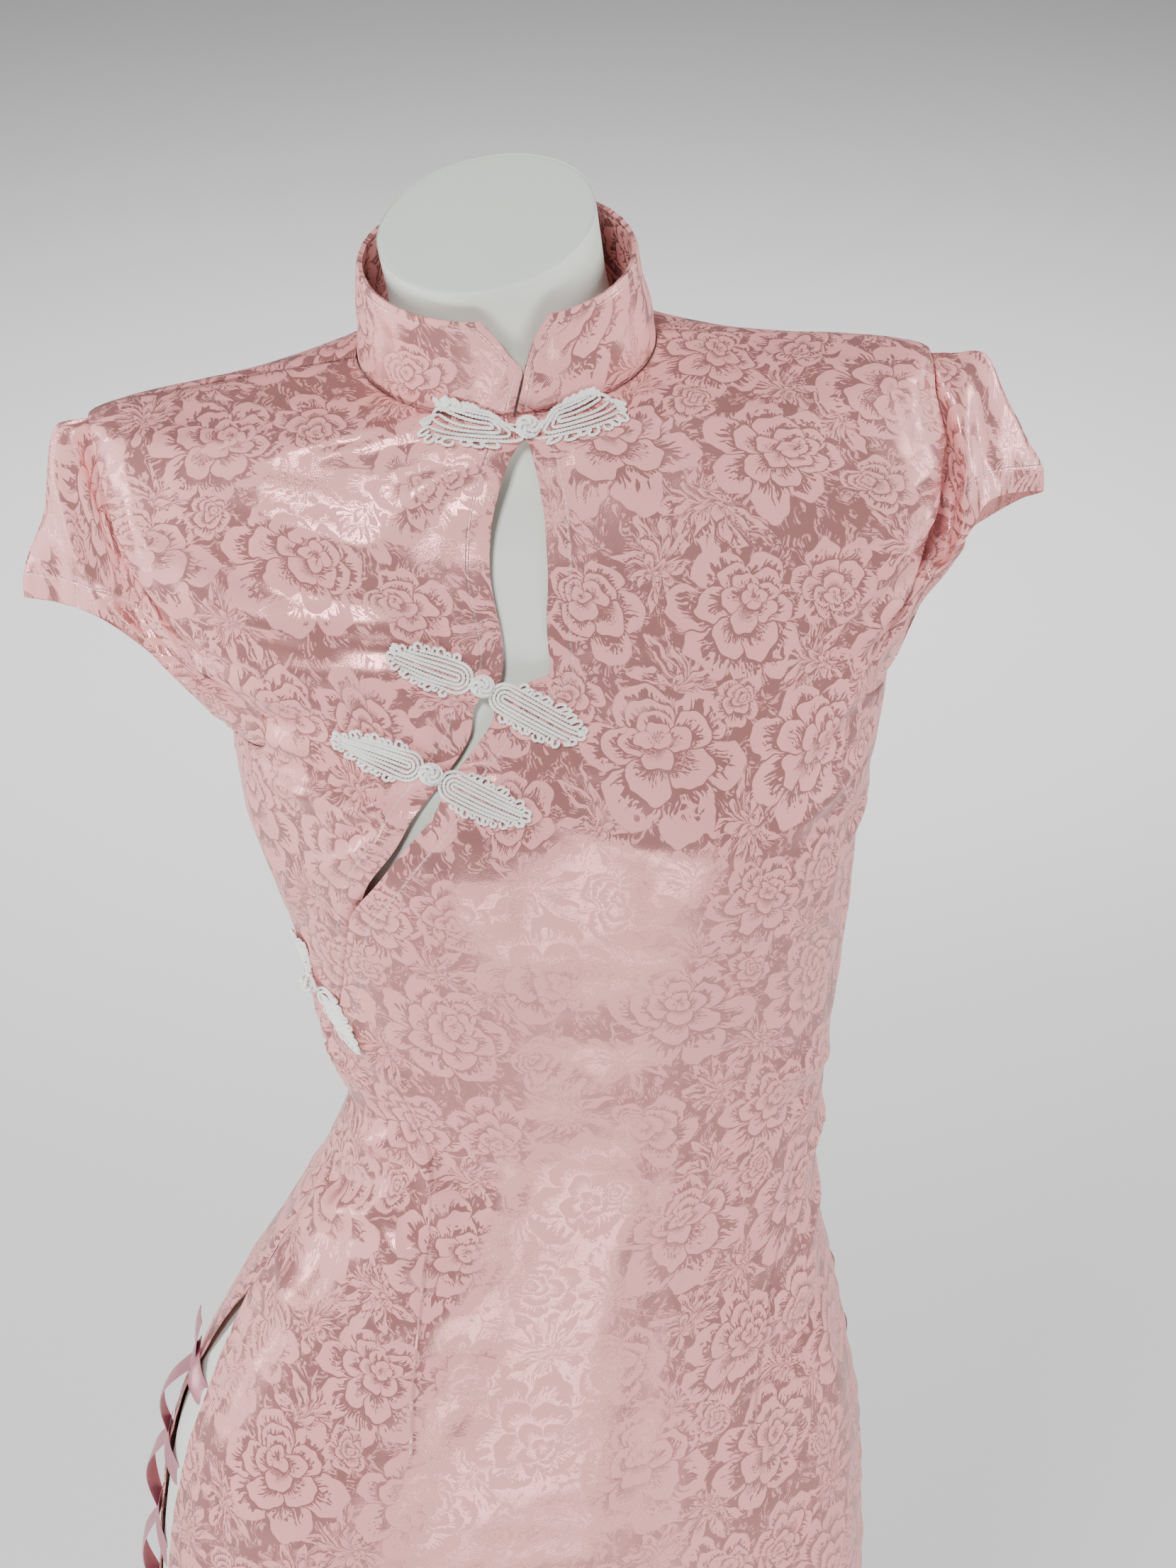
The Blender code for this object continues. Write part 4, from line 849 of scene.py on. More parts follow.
def front_piece(look):
    levels = fine_levels(HEM, FRONT_ROWS)
    edge = between(MAIN_EDGE, levels, "angle")
    left = np.where(levels > MAIN_EDGE[-1].level, edge, -90)
    left = np.maximum(left, -90 + side_edge(np.minimum(levels, UNDERARM), "front"))
    right = 90 - side_edge(levels, "front")
    share = np.linspace(0, 1, FRONT_COLUMNS)[None, :]
    angle = left[:, None] + (90 - left)[:, None] * share + (right - 90)[:, None] * share**3
    level = np.repeat(levels[:, None], angle.shape[1], axis=1)
    points = worn(angle, level)
    opening = points[levels > MAIN_EDGE[-1].level, 0]
    side = (levels < UNDERARM) & (levels > SLIT_TOP)
    slits = levels < SLIT_TOP
    stitched = [opening, points[slits, 0], points[slits, -1], points[-1]]
    sewn = [points[levels > SLIT_TOP, -1], points[side & (levels < MAIN_EDGE[-1].level), 0], points[0]]
    points, marks = finish_cloth(points, BODY_MIDDLE, stitched, sewn)
    marks["dart"], marks["dart_on"] = dart_marks(angle, level)
    uv = cut_uv(points, angle, level, 0, (0.0, 0.0))
    return cloth_piece("front", points, BODY_MIDDLE, look, uv, marks)


def chest_piece(look):
    levels = fine_levels(FLAP_FOOT, CHEST_ROWS)
    left = -90 + side_edge(levels, "front")
    right = between(CHEST_EDGE, levels, "angle")
    share = np.linspace(0, 1, CHEST_COLUMNS)[None, :]
    angle = -90 + (right + 90)[:, None] * share + (left + 90)[:, None] * (1 - share) ** 1.5
    level = np.repeat(levels[:, None], angle.shape[1], axis=1)
    under = np.clip((angle - between(MAIN_EDGE, level, "angle") + 6) / 6, 0, 1)
    side = np.clip((angle + 90) / 3, 0, 1) * (level < 1.12) + (level >= 1.12)
    points = worn(angle, level, -UNDERLAP_DROP * under**2 * side)
    stitched = [points[:, -1], points[-1]]
    sewn = [points[:, 0], points[0]]
    points, marks = finish_cloth(points, BODY_MIDDLE, stitched, sewn)
    uv = cut_uv(points, angle, level, 0, (0.031, 0.047))
    return cloth_piece("chest", points, BODY_MIDDLE, look, uv, marks)


def back_piece(look):
    levels = fine_levels(HEM, BACK_ROWS)
    left = 90 + side_edge(levels, "back")
    right = 270 - side_edge(levels, "back")
    share = np.linspace(0, 1, BACK_COLUMNS)[None, :]
    angle = 90 + 180 * share + (left - 90)[:, None] * (1 - share) ** 3 + (right - 270)[:, None] * share**3
    level = np.repeat(levels[:, None], angle.shape[1], axis=1)
    points = worn(angle, level)
    slits = levels < SLIT_TOP
    stitched = [points[slits, 0], points[slits, -1], points[-1]]
    sewn = [points[~slits, 0], points[~slits, -1], points[0]]
    points, marks = finish_cloth(points, BODY_MIDDLE, stitched, sewn)
    marks["dart"], marks["dart_on"] = dart_marks(angle, level)
    uv = cut_uv(points, angle, level, 180, (0.062, 0.013))
    return cloth_piece("back_panel", points, BODY_MIDDLE, look, uv, marks)


def collar_piece(look):
    levels = np.linspace(COLLAR_TOP, 0, COLLAR_ROWS)
    start = between(COLLAR_ENDS, levels, "left")
    end = 360 + between(COLLAR_ENDS, levels, "right")
    share = np.linspace(0, 1, COLLAR_COLUMNS)[None, :]
    angle = start[:, None] + (end - start)[:, None] * share
    level = np.repeat(levels[:, None], angle.shape[1], axis=1)
    points = collar(angle, level)
    centre = points.mean((0, 1))
    out = facing(points, centre)
    wrinkle = 0.0006 * np.sin(angle / 4.7 + 130 * level) * np.sin(angle / 11.3 - 60 * level + 1.0)
    near = np.minimum(angle - start[:, None], end[:, None] - angle)
    pull = 0.0010 * np.sin(near / 2.6 + 90 * level) * np.exp(-near / 16)
    ease = np.sin(np.pi * np.clip(level / COLLAR_TOP, 0.02, 0.98))
    points = points + out * ((wrinkle + pull) * ease + 0.0004)[..., None]
    border = np.concatenate([points[::-1, 0], points[0], points[:, -1]])
    hem, along = from_edge(points, border)
    rise = -0.0009 * np.exp(-((hem / 0.0012) ** 2))
    seam_gap, _ = from_edge(points, points[-1])
    points = points + out * rise[..., None]
    points = np.concatenate([points, points[-1:] - out[-1:] * 0.0012 - np.array([0, 0, 0.0030])])
    level = np.concatenate([level, level[-1:] - 0.003])
    angle = np.concatenate([angle, angle[-1:]])
    hem, along, seam_gap = (np.concatenate([values, values[-1:]]) for values in (hem, along, seam_gap))
    steps = np.linalg.norm(np.diff(points, axis=1), axis=2).mean(0)
    u = np.concatenate([[0], np.cumsum(steps)])[None, :] + level * 0
    uv = np.stack([u + 0.02, level + 0.005], axis=-1)
    marks = {"stitched": hem + 0.0065, "along": along, "sewn": seam_gap} | no_darts(angle.shape)
    return cloth_piece("stand_collar", points, centre, look, uv, marks, thin=COLLAR_CLOTH * 0.9)


# Creases of the sleeves: from one turn and share to another, with a width in degrees of turn
Tuck = namedtuple("Tuck", "turn share to_turn to_share width rise")
RIGHT_TUCKS = (
    Tuck(30, 0.10, 118, 0.55, 15, -0.0050),
    Tuck(62, 0.20, 140, 0.80, 12, 0.0042),
    Tuck(12, 0.35, 62, 0.95, 12, 0.0030),
    Tuck(-30, 0.15, 8, 0.75, 16, -0.0030),
    Tuck(88, 0.05, 150, 0.45, 9, 0.0030),
    Tuck(230, 0.10, 290, 0.70, 15, 0.0030),
    Tuck(300, 0.15, 330, 0.90, 14, -0.0028),
)
LEFT_TUCKS = (
    Tuck(40, 0.05, 96, 0.95, 12, 0.0052),
    Tuck(72, 0.05, 122, 0.80, 10, -0.0044),
    Tuck(14, 0.10, 52, 0.95, 13, -0.0030),
    Tuck(-22, 0.20, 6, 0.90, 13, 0.0030),
    Tuck(110, 0.10, 140, 0.60, 10, 0.0026),
    Tuck(236, 0.10, 286, 0.80, 15, -0.0028),
    Tuck(300, 0.15, 336, 0.95, 14, 0.0030),
)


def tuck_rise(tucks, place, share):
    """How far the creases lift a sleeve's cloth, at turns in degrees and shares of the way to its hem."""
    rise = np.zeros(np.broadcast_shapes(place.shape, share.shape))
    for tuck in tucks:
        reach = (share - tuck.share) / (tuck.to_share - tuck.share)
        middle = tuck.turn + (tuck.to_turn - tuck.turn) * np.clip(reach, 0, 1)
        off = (place - middle + 180) % 360 - 180
        taper = np.sin(np.pi * np.clip(reach * 0.8 + 0.1, 0.0, 1.0)) ** 0.8
        rise = rise + tuck.rise * taper * np.exp(-np.abs(off / tuck.width) ** 1.7)
    return rise


def sleeve_piece(name, hems, tucks, look, offset):
    turn = np.arange(0, 360, SLEEVE_STEP)[None, :]
    share = np.linspace(0, 1, SLEEVE_ROWS)[:, None]
    way = 1 if hems[0].side < 0 else -1
    points = sleeve(hems, turn * way, share)
    centre = points.mean(1, keepdims=True)
    place = (turn * way) % 360
    rise = tuck_rise(tucks, place, share)
    rise = rise + 0.0008 * np.sin(np.radians(place * 5) + share * 7) * np.sin(share * 9 + 1)
    gather = np.sin(np.radians(place) * 21 + 2 * np.sin(np.radians(place) * 4))
    rise = rise + 0.0008 * gather * np.exp(-share / 0.10)
    ease = np.clip(share / 0.06, 0, 1)
    points = points + facing(points, centre, True) * (rise * ease)[..., None]
    ring = np.concatenate([points, points[:, :1]], axis=1)
    hem, along = from_edge(points, ring[-1])
    seam_gap, _ = from_edge(points, ring[0])
    fold = 0.0004 * np.clip((0.013 - hem) / 0.002, 0, 1) - 0.0004 * np.exp(-((seam_gap / 0.003) ** 2)) * ease
    wave = np.sin(2 * np.pi * along / 0.016 + 2.0 * np.sin(along / 0.02))
    wave = wave * np.exp(-(((hem - 0.012) / 0.008) ** 2))
    points = points + facing(points, centre, True) * (fold + 0.0005 * wave)[..., None]
    start = points[:1] + (points[:1] - points[1:2]) * 1.2 - facing(points, centre, True)[:1] * 0.0010
    points = np.concatenate([start, points])
    centre = np.concatenate([centre[:1], centre])
    ring = np.concatenate([points, points[:, :1]], axis=1)
    share = np.concatenate([share[:1], share])
    hem, along, seam_gap = (np.concatenate([values[:1], values]) for values in (hem, along, seam_gap))
    around = np.linalg.norm(np.diff(ring, axis=1), axis=2).mean(0)
    u = np.concatenate([[0], np.cumsum(around)])[None, :] + share * 0
    down = np.linalg.norm(np.diff(ring, axis=0), axis=2)
    v = np.concatenate([np.zeros((1, ring.shape[1])), np.cumsum(down, axis=0)])
    uv = np.stack([u + offset[0], offset[1] - v], axis=-1)
    marks = {"stitched": hem - 0.002, "along": along, "sewn": seam_gap + 0.0015} | no_darts(hem.shape)
    return cloth_piece(name, points, centre, look, uv, marks, closed=True)


def rope(points, normals, radius, pitch=0.0030, depth=0.17, sides=8, step=0.00042):
    """Vertices and faces of a cord of two twisted strands along a line."""
    along = along_line(points)
    count = max(int(along[-1] / step), 3)
    place = np.linspace(0, along[-1], count)
    line = np.stack([np.interp(place, along, points[:, n]) for n in range(3)], axis=1)
    up = np.stack([np.interp(place, along, normals[:, n]) for n in range(3)], axis=1)
    ahead = unit(np.gradient(line, axis=0))
    up = unit(up - ahead * np.sum(up * ahead, axis=1, keepdims=True))
    aside = np.cross(ahead, up)
    turn = np.radians(np.arange(sides) * 360 / sides)[None, :]
    size = radius * (1 - depth + depth * np.cos(2 * (turn - 2 * np.pi * place[:, None] / pitch)))
    ends = np.minimum(place, along[-1] - place)[:, None]
    size = size * np.sqrt(np.clip(ends / radius, 0.12, 1))
    ring = up[:, None] * (np.cos(turn) * size)[..., None] + aside[:, None] * (np.sin(turn) * size)[..., None]
    return (line[:, None] + ring).reshape(-1, 3), tube_faces(count, sides)


def join_ropes(name, ropes, look):
    verts = []
    faces = []
    base = 0
    for points, quads in ropes:
        verts.extend(points.tolist())
        faces.extend([[n + base for n in quad] for quad in quads])
        base += len(points)
    mesh = bpy.data.meshes.new(name)
    mesh.from_pydata(verts, [], faces)
    return shown_mesh(name, mesh, look, sharp=180)


# The cord of the frogs: its radius, how far apart its loops lie, the half width of the innermost, how far
# each falls short of the tip, and the small loops along the sides
CORD = 0.00092
CORD_PITCH = 0.00190
SLOT_HALF = 0.0012
ARM_SHORT = (0.0016, 0.0026, 0.0066, 0.0118)
EDGE_LOOP = 0.0015
EDGE_LOOP_PITCH = 0.0034

# The ball of the knot: its cord, how far that winds from the middle and swings in and out, how high it winds
# and stands, and half the width and height of the loop round it
BALL_CORD = 0.00102
BALL_REACH = 0.00255
BALL_SWING = 0.00150
BALL_RISE = 0.00205
BALL_HEIGHT = 0.0040
ROUND_WIDE = 0.0049
ROUND_TALL = 0.0046


def frog_piece(name, frog, to_angle, to_level, seed, look):
    """One half of a frog: cord in nested loops round a slot, small loops along its sides, and its neck."""
    along, aside, length = across(frog.angle, frog.level, to_angle, to_level)
    middle = FROG_NEAR + 0.0071
    tip = length - 0.0008
    lines = []

    def narrow(s):
        return 1 - 0.26 * np.clip((s - middle) / (tip - middle), 0, 1) ** 1.6

    for number, short in enumerate(ARM_SHORT):
        half = SLOT_HALF + CORD_PITCH * number
        arm = np.linspace(tip - short, middle, 24)
        bend = np.radians(np.linspace(90, 270, 22))[1:-1]
        s = np.concatenate([arm, middle + half * np.cos(bend), arm[::-1]])
        t = np.concatenate([half * narrow(arm), half * np.sin(bend), -half * narrow(arm[::-1])])
        lines.append((s, t, np.full(len(s), CORD * (1.0 + 0.25 * (number % 2)))))
    for side in (1, -1):
        place = middle + 0.0024 + (0.0010 if side > 0 else 0.0)
        loop = 0
        while place < tip - 0.0022:
            left = [n for n, short in enumerate(ARM_SHORT) if tip - short >= place]
            half = (SLOT_HALF + CORD_PITCH * (left[-1] if left else 0)) * narrow(place)
            size = EDGE_LOOP + 0.0003 * np.sin(2.4 * loop + seed)
            turn = np.radians(np.linspace(-150, 160, 18))
            lean = 0.5 + 0.25 * np.sin(1.9 * loop + seed * 2)
            s = size * 0.85 * np.sin(turn)
            t = size * (1.25 - np.cos(turn) * -1.0) * 1.05
            s, t = s * np.cos(lean) + t * np.sin(lean), t * np.cos(lean) - s * np.sin(lean)
            rise = CORD * (1.25 + 0.9 * np.sin(turn / 2) ** 2)
            lines.append((place + s, side * (half + t * 0.85), rise))
            place += EDGE_LOOP_PITCH + 0.0005 * np.sin(3.1 * loop + seed)
            loop += 1
    for offset, reach in ((-0.0023, 0.0032), (0.0006, 0.0042), (0.0031, 0.0028)):
        turn = np.radians(np.linspace(-160, 160, 20))
        s = tip - 0.0028 + reach * (0.5 + 0.5 * np.cos(turn))
        t = offset + 0.0012 * np.sin(turn)
        lines.append((s, t, np.full(len(s), CORD * 1.7)))
    for offset in (-0.0010, 0.0010):
        s = np.linspace(0.0020, middle - 0.0056, 8)
        lines.append((s, np.full(len(s), offset) * (1 + s * 60), np.full(len(s), CORD * 1.5)))
    s, t, rise = (np.concatenate(values) for values in zip(*lines))
    angle = frog.angle + along[0] * s + aside[0] * t
    level = frog.level + along[1] * s + aside[1] * t
    normals = outward(over_neck, angle, level, NECKLINE * 2)
    points = over_neck(angle, level) + normals * (LAID_ON / 2 + rise + worn_rise(angle, level))[:, None]
    ends = np.cumsum([len(line[0]) for line in lines])[:-1]
    ropes = [rope(*pair, CORD) for pair in zip(np.split(points, ends), np.split(normals, ends))]
    return join_ropes(name, ropes, look)


def knot_piece(name, frog, turned, look):
    """The ball of knotted cord, with the loop that closes round it."""
    angle = np.array(frog.angle)
    level = np.array(frog.level)
    normal = outward(over_neck, angle, level, NECKLINE * 2).ravel()
    base = over_neck(angle, level).ravel() + normal * (LAID_ON + float(worn_rise(angle, level)))
    aside = unit(np.cross(normal, (0, 0, 1)))
    up = np.cross(aside, normal)
    t = np.linspace(0, 2 * np.pi, 150)
    wound = 3 * t + turned
    radius = BALL_REACH + BALL_SWING * np.cos(5 * t)
    flat = np.stack([radius * np.cos(wound), radius * np.sin(wound), BALL_RISE * np.sin(5 * t)], 1)
    points = base + aside * flat[:, :1] + up * flat[:, 1:2] + normal * (flat[:, 2:] + BALL_HEIGHT)
    ropes = [rope(points, points - (base + normal * BALL_HEIGHT), BALL_CORD)]
    t = np.linspace(0, 2 * np.pi, 60)
    points = base + aside * (ROUND_WIDE * np.cos(t))[:, None] + up * (ROUND_TALL * np.sin(t))[:, None]
    points = points + normal * (0.0022 + 0.0004 * np.sin(2 * t))[:, None]
    ropes.append(rope(points, np.repeat(normal[None, :], len(t), axis=0), CORD))
    return join_ropes(name, ropes, look)


def lace_run(right):
    """The run that loops out beside the slit: degrees past the side seam, levels and how far out it is."""
    top = RUNG_TOP + RUNG_PITCH * 0.5
    foot = RUNG_TOP - RUNG_PITCH * (RUNGS - 0.75)
    level = np.linspace(top, foot, 220)[:, None] + np.zeros((1, 7))
    wide = np.linspace(-1, 1, 7)[None, :]
    gone = -slit(level) - 3.2 + wide * 3.1
    passed = (RUNG_TOP - level) / RUNG_PITCH
    bulge = RUN_BULGE * (2.0 if right else 1.2) * np.abs(np.sin(np.pi * passed)) ** 1.3
    curl = 0.0006 * wide**2 * np.sin(2 * np.pi * passed + 0.6) + 0.0010 * wide * np.sin(np.pi * passed * 1.5)
    gone = gone + 0.9 * np.sin(2 * np.pi * passed * 0.5)
    out = LAID_ON + RIBBON * 0.8 + bulge + curl * np.abs(np.sin(np.pi * passed))
    return gone, level, out


def lace_rung(number):
    """A rung across the slit, from on top of the back's edge to under the front's."""
    middle = RUNG_TOP - RUNG_PITCH * number
    tall = np.linspace(0.5, -0.5, 7)[:, None] * RIBBON_WIDTH
    share = np.linspace(0, 1, 44)[None, :]
    half = slit(np.array(middle))
    gone = -half - 6.4 + (2 * half + 6.4 + 4.5) * share + tall * 0
    crossed = np.clip((gone + half - 0.5) / (2 * half - 3.0), 0, 1)
    smooth = crossed**2 * (3 - 2 * crossed)
    over = LAID_ON + RIBBON * 1.9
    under = -CLOTH - LAID_ON * 3
    sag = -0.0022 * np.sin(np.pi * crossed) + 0.0007 * np.sin(9 * crossed + number) * (tall / RIBBON_WIDTH)
    pinch = 1 - 0.22 * np.exp(-(((crossed - 1) / 0.25) ** 2)) + 0.05 * np.sin(5 * share + number)
    level = middle + tall * pinch + sag + 0.003 * (crossed - 0.5) * (1 if number % 2 else -1)
    out = over + (under - over) * smooth + 0.0005 * np.cos(2 * np.pi * tall / RIBBON_WIDTH + 3 * crossed)
    return gone, level, out


def lace_piece(name, right, look):
    """One side's ribbon: the run beside the slit, and each rung across it."""
    verts = []
    faces = []
    uvs = []
    base = 0
    for gone, level, out in [lace_run(right)] + [lace_rung(number) for number in range(RUNGS)]:
        angle = gone - 90 if right else 90 - gone
        outer = dress(angle, level, out)
        inner = outer - facing(outer, (0.0, 0.0, 0.8)) * RIBBON_THIN
        rows, columns = gone.shape
        grid = np.arange(rows * columns).reshape(rows, columns)
        count = rows * columns
        quads = np.stack([grid[:-1, :-1], grid[1:, :-1], grid[1:, 1:], grid[:-1, 1:]], -1).reshape(-1, 4)
        rim = np.concatenate([grid[:, 0], grid[-1, 1:], grid[-2::-1, -1], grid[0, -2:0:-1]])
        edge = np.stack([np.roll(rim, -1), rim, rim + count, np.roll(rim, -1) + count], 1)
        verts.extend([outer.reshape(-1, 3), inner.reshape(-1, 3)])
        faces.append(np.concatenate([quads, quads[:, ::-1] + count, edge]) + base)
        base += 2 * count
        down = along_line(outer[:, columns // 2])[:, None]
        wide = along_line(outer[rows // 2])[None, :]
        uvs.extend([np.stack(np.broadcast_arrays(wide, down), -1).reshape(-1, 2)] * 2)
    faces = np.concatenate(faces)
    mesh = cut_mesh(name, np.concatenate(verts), faces, np.concatenate(uvs)[faces.ravel()])
    face_out(mesh)
    return shown_mesh(name, mesh, look)


# How much fuller than its solid the form is: under the keyhole, under the slanting opening and at the hips
KEYHOLE_FILL = 0.0050
SLANT_FILL = 0.0055
HIP_FILL = 0.0036


def filled_form(angles, level):
    """A ring of the form, a little fuller under the keyhole, the slanting opening and the side slits."""
    level = np.full(len(angles), level)
    ahead = np.clip(np.cos(np.radians(angles + 6)), 0, 1)
    chest = KEYHOLE_FILL * np.exp(-(((level - 1.325) / 0.085) ** 4)) * ahead
    off = ((level - 1.245) / 0.045) ** 2 + (((angles + 180) % 360 - 145) / 20) ** 2
    chest = chest + SLANT_FILL * np.exp(-off)
    hips = HIP_FILL * np.exp(-(((level - 0.755) / 0.150) ** 6))
    points = rings(FORM, angles, level)
    around = np.roll(points, -1, axis=0) - np.roll(points, 1, axis=0)
    out = unit(np.stack([around[:, 1], -around[:, 0], around[:, 2] * 0], axis=-1))
    out = out * np.sign(np.sum(out * (points - points.mean(0))))
    return points + out * (chest + hips)[:, None]


def form_piece(look):
    """The smooth form, with a softly rounded rim on its neck cap."""
    top = FORM[-1].level
    levels = np.concatenate([np.linspace(FORM[0].level, 1.30, 90), np.linspace(1.303, top, 110)])[::-1]
    angles = np.arange(0, 360, 3.0)
    ring = rings(FORM, angles, np.full(len(angles), top))
    middle = ring.mean(0)
    up = unit(np.cross(ring[0] - middle, ring[30] - middle))
    up = up if up[2] > 0 else -up
    loops = [middle + (ring - middle) * size + up * rise for size, rise in CAP_RIM]
    loops += [filled_form(angles, level) for level in levels]
    foot = loops[-1]
    low = foot.mean(0)
    loops += [low + (foot - low) * size - np.array([0, 0, rise]) for size, rise in FOOT_RIM]
    mesh = bpy.data.meshes.new("display_form")
    mesh.from_pydata(np.concatenate(loops[::-1]).tolist(), [], tube_faces(len(loops), len(angles)))
    return shown_mesh("display_form", mesh, look, sharp=60)


# The rings of the neck cap's rim and of the foot's, each its size and its rise
CAP_RIM = ((0.80, 0.0), (0.955, 0.0), (0.978, -0.0001), (0.990, -0.0004), (0.998, -0.0010))
FOOT_RIM = ((0.992, 0.0), (0.90, 0.0))

# The turned bodies' profiles, each place a radius and a height
SOCKET_RADIUS = POLE_RADIUS + SEAM_GAP
FLANGE_FOOT = FORM_FOOT - FLANGE_DEPTH
POLE_PROFILE = (
    (0, FORM_FOOT - SEAM_GAP),
    (FLANGE_RADIUS, FORM_FOOT - SEAM_GAP),
    (FLANGE_RADIUS, FLANGE_FOOT + 0.001),
    (FLANGE_RADIUS - 0.001, FLANGE_FOOT),
    (POLE_RADIUS + 0.003, FLANGE_FOOT),
    (POLE_RADIUS, FLANGE_FOOT - 0.003),
    (POLE_RADIUS, POLE_FOOT + SEAM_GAP),
    (0, POLE_FOOT + SEAM_GAP),
)
BASE_PROFILE = (
    (0, POLE_FOOT),
    (SOCKET_RADIUS, POLE_FOOT),
    (SOCKET_RADIUS, HUB_TOP),
    (HUB_RADIUS - 0.0015, HUB_TOP),
    (HUB_RADIUS, HUB_TOP - 0.0015),
    (HUB_RADIUS, BASE_DEPTH + 0.002),
    (HUB_RADIUS + 0.002, BASE_DEPTH),
    (BASE_RADIUS - 0.0015, BASE_DEPTH),
    (BASE_RADIUS - 0.0005, BASE_DEPTH - 0.0005),
    (BASE_RADIUS, BASE_DEPTH - 0.0015),
    (BASE_RADIUS, 0),
    (0, 0),
)


def lathe_piece(name, profile, look, steps=96):
    """A turned body from a profile of radius and height, with its edges softly rounded."""
    mesh = bpy.data.meshes.new(name)
    points = [(radius, 0, height) for radius, height in profile]
    mesh.from_pydata(points, [(i, i + 1) for i in range(len(points) - 1)], [])
    bm = bmesh.new()
    bm.from_mesh(mesh)
    turned = {"geom": bm.verts[:] + bm.edges[:], "axis": (0, 0, 1), "cent": (0, 0, 0)}
    bmesh.ops.spin(bm, **turned, steps=steps, angle=2 * np.pi, use_merge=True)
    bmesh.ops.remove_doubles(bm, verts=bm.verts, dist=0.00005)
    bmesh.ops.recalc_face_normals(bm, faces=bm.faces)
    bm.to_mesh(mesh)
    bm.free()
    return shown_mesh(name, mesh, look, sharp=35)


class Net:
    """Short names for making a material's nodes."""

    def __init__(self, name):
        self.look = bpy.data.materials.new(name)
        self.look.use_nodes = True
        self.tree = self.look.node_tree
        self.shader = self.tree.nodes["Principled BSDF"]

    def put(self, value, socket):
        if isinstance(value, bpy.types.NodeSocket):
            self.tree.links.new(value, socket)
        else:
            socket.default_value = value

    def math(self, operation, *values, clamp=False):
        node = self.tree.nodes.new("ShaderNodeMath")
        node.operation = operation
        node.use_clamp = clamp
        for value, socket in zip(values, node.inputs):
            self.put(value, socket)
        return node.outputs[0]

    def times(self, a, b):
        return self.math("MULTIPLY", a, b)

    def plus(self, a, b):
        return self.math("ADD", a, b)

    def minus(self, a, b):
        return self.math("SUBTRACT", a, b)

    def vector(self, operation, *values):
        node = self.tree.nodes.new("ShaderNodeVectorMath")
        node.operation = operation
        sockets = [node.inputs[0], node.inputs["Scale"]] if operation == "SCALE" else node.inputs
        for value, socket in zip(values, sockets):
            self.put(value, socket)
        return node.outputs["Value" if operation in ("LENGTH", "DOT_PRODUCT") else "Vector"]

    def scaled(self, vector, size):
        return self.vector("SCALE", vector, size)

    def mix(self, share, a, b, kind="FLOAT"):
        node = self.tree.nodes.new("ShaderNodeMix")
        node.data_type = kind
        first = {"FLOAT": 2, "VECTOR": 4, "RGBA": 6}[kind]
        self.put(share, node.inputs[0])
        self.put(a, node.inputs[first])
        self.put(b, node.inputs[first + 1])
        return node.outputs[{"FLOAT": 0, "VECTOR": 1, "RGBA": 2}[kind]]

    def noise(self, vector, scale, detail=0.0, flat=True, colour=False):
        node = self.tree.nodes.new("ShaderNodeTexNoise")
        node.noise_dimensions = "2D" if flat else "3D"
        self.put(vector, node.inputs["Vector"])
        node.inputs["Scale"].default_value = scale
        node.inputs["Detail"].default_value = detail
        return node.outputs["Color" if colour else 0]

    def apart(self, vector):
        node = self.tree.nodes.new("ShaderNodeSeparateXYZ")
        self.put(vector, node.inputs[0])
        return node.outputs

    def joined(self, x, y, z):
        node = self.tree.nodes.new("ShaderNodeCombineXYZ")
        for value, socket in zip((x, y, z), node.inputs):
            self.put(value, socket)
        return node.outputs[0]

    def mark(self, name):
        node = self.tree.nodes.new("ShaderNodeAttribute")
        node.attribute_name = name
        return node.outputs["Fac"]

    def cut(self):
        """The place on the flat cloth, in millimetres."""
        node = self.tree.nodes.new("ShaderNodeUVMap")
        node.uv_map = "cut"
        return self.scaled(node.outputs[0], 1000.0)

    def place(self):
        """The place in the piece's own metres."""
        return self.tree.nodes.new("ShaderNodeTexCoord").outputs["Object"]

    def strayed(self, place, noise, reach):
        """A place moved by a coloured noise, by up to half the reach each way."""
        return self.vector("ADD", place, self.scaled(self.vector("SUBTRACT", noise, (0.5, 0.5, 0.5)), reach))

    def ramp(self, value, low, high):
        """0 below low, 1 above high and smooth between them."""
        node = self.tree.nodes.new("ShaderNodeMapRange")
        node.interpolation_type = "SMOOTHSTEP"
        self.put(value, node.inputs["Value"])
        self.put(low, node.inputs["From Min"])
        self.put(high, node.inputs["From Max"])
        return node.outputs[0]

    def bump(self, height, millimetres, normal=None):
        node = self.tree.nodes.new("ShaderNodeBump")
        node.inputs["Distance"].default_value = millimetres / 1000
        self.put(height, node.inputs["Height"])
        if normal is not None:
            self.put(normal, node.inputs["Normal"])
        return node.outputs[0]


# The four rings of petals of a flower: each one's reach, and how far it lies off the flower's middle
PETAL_RINGS = ((1.0, 0.0), (0.66, 0.13), (0.40, 0.24), (0.19, 0.30))


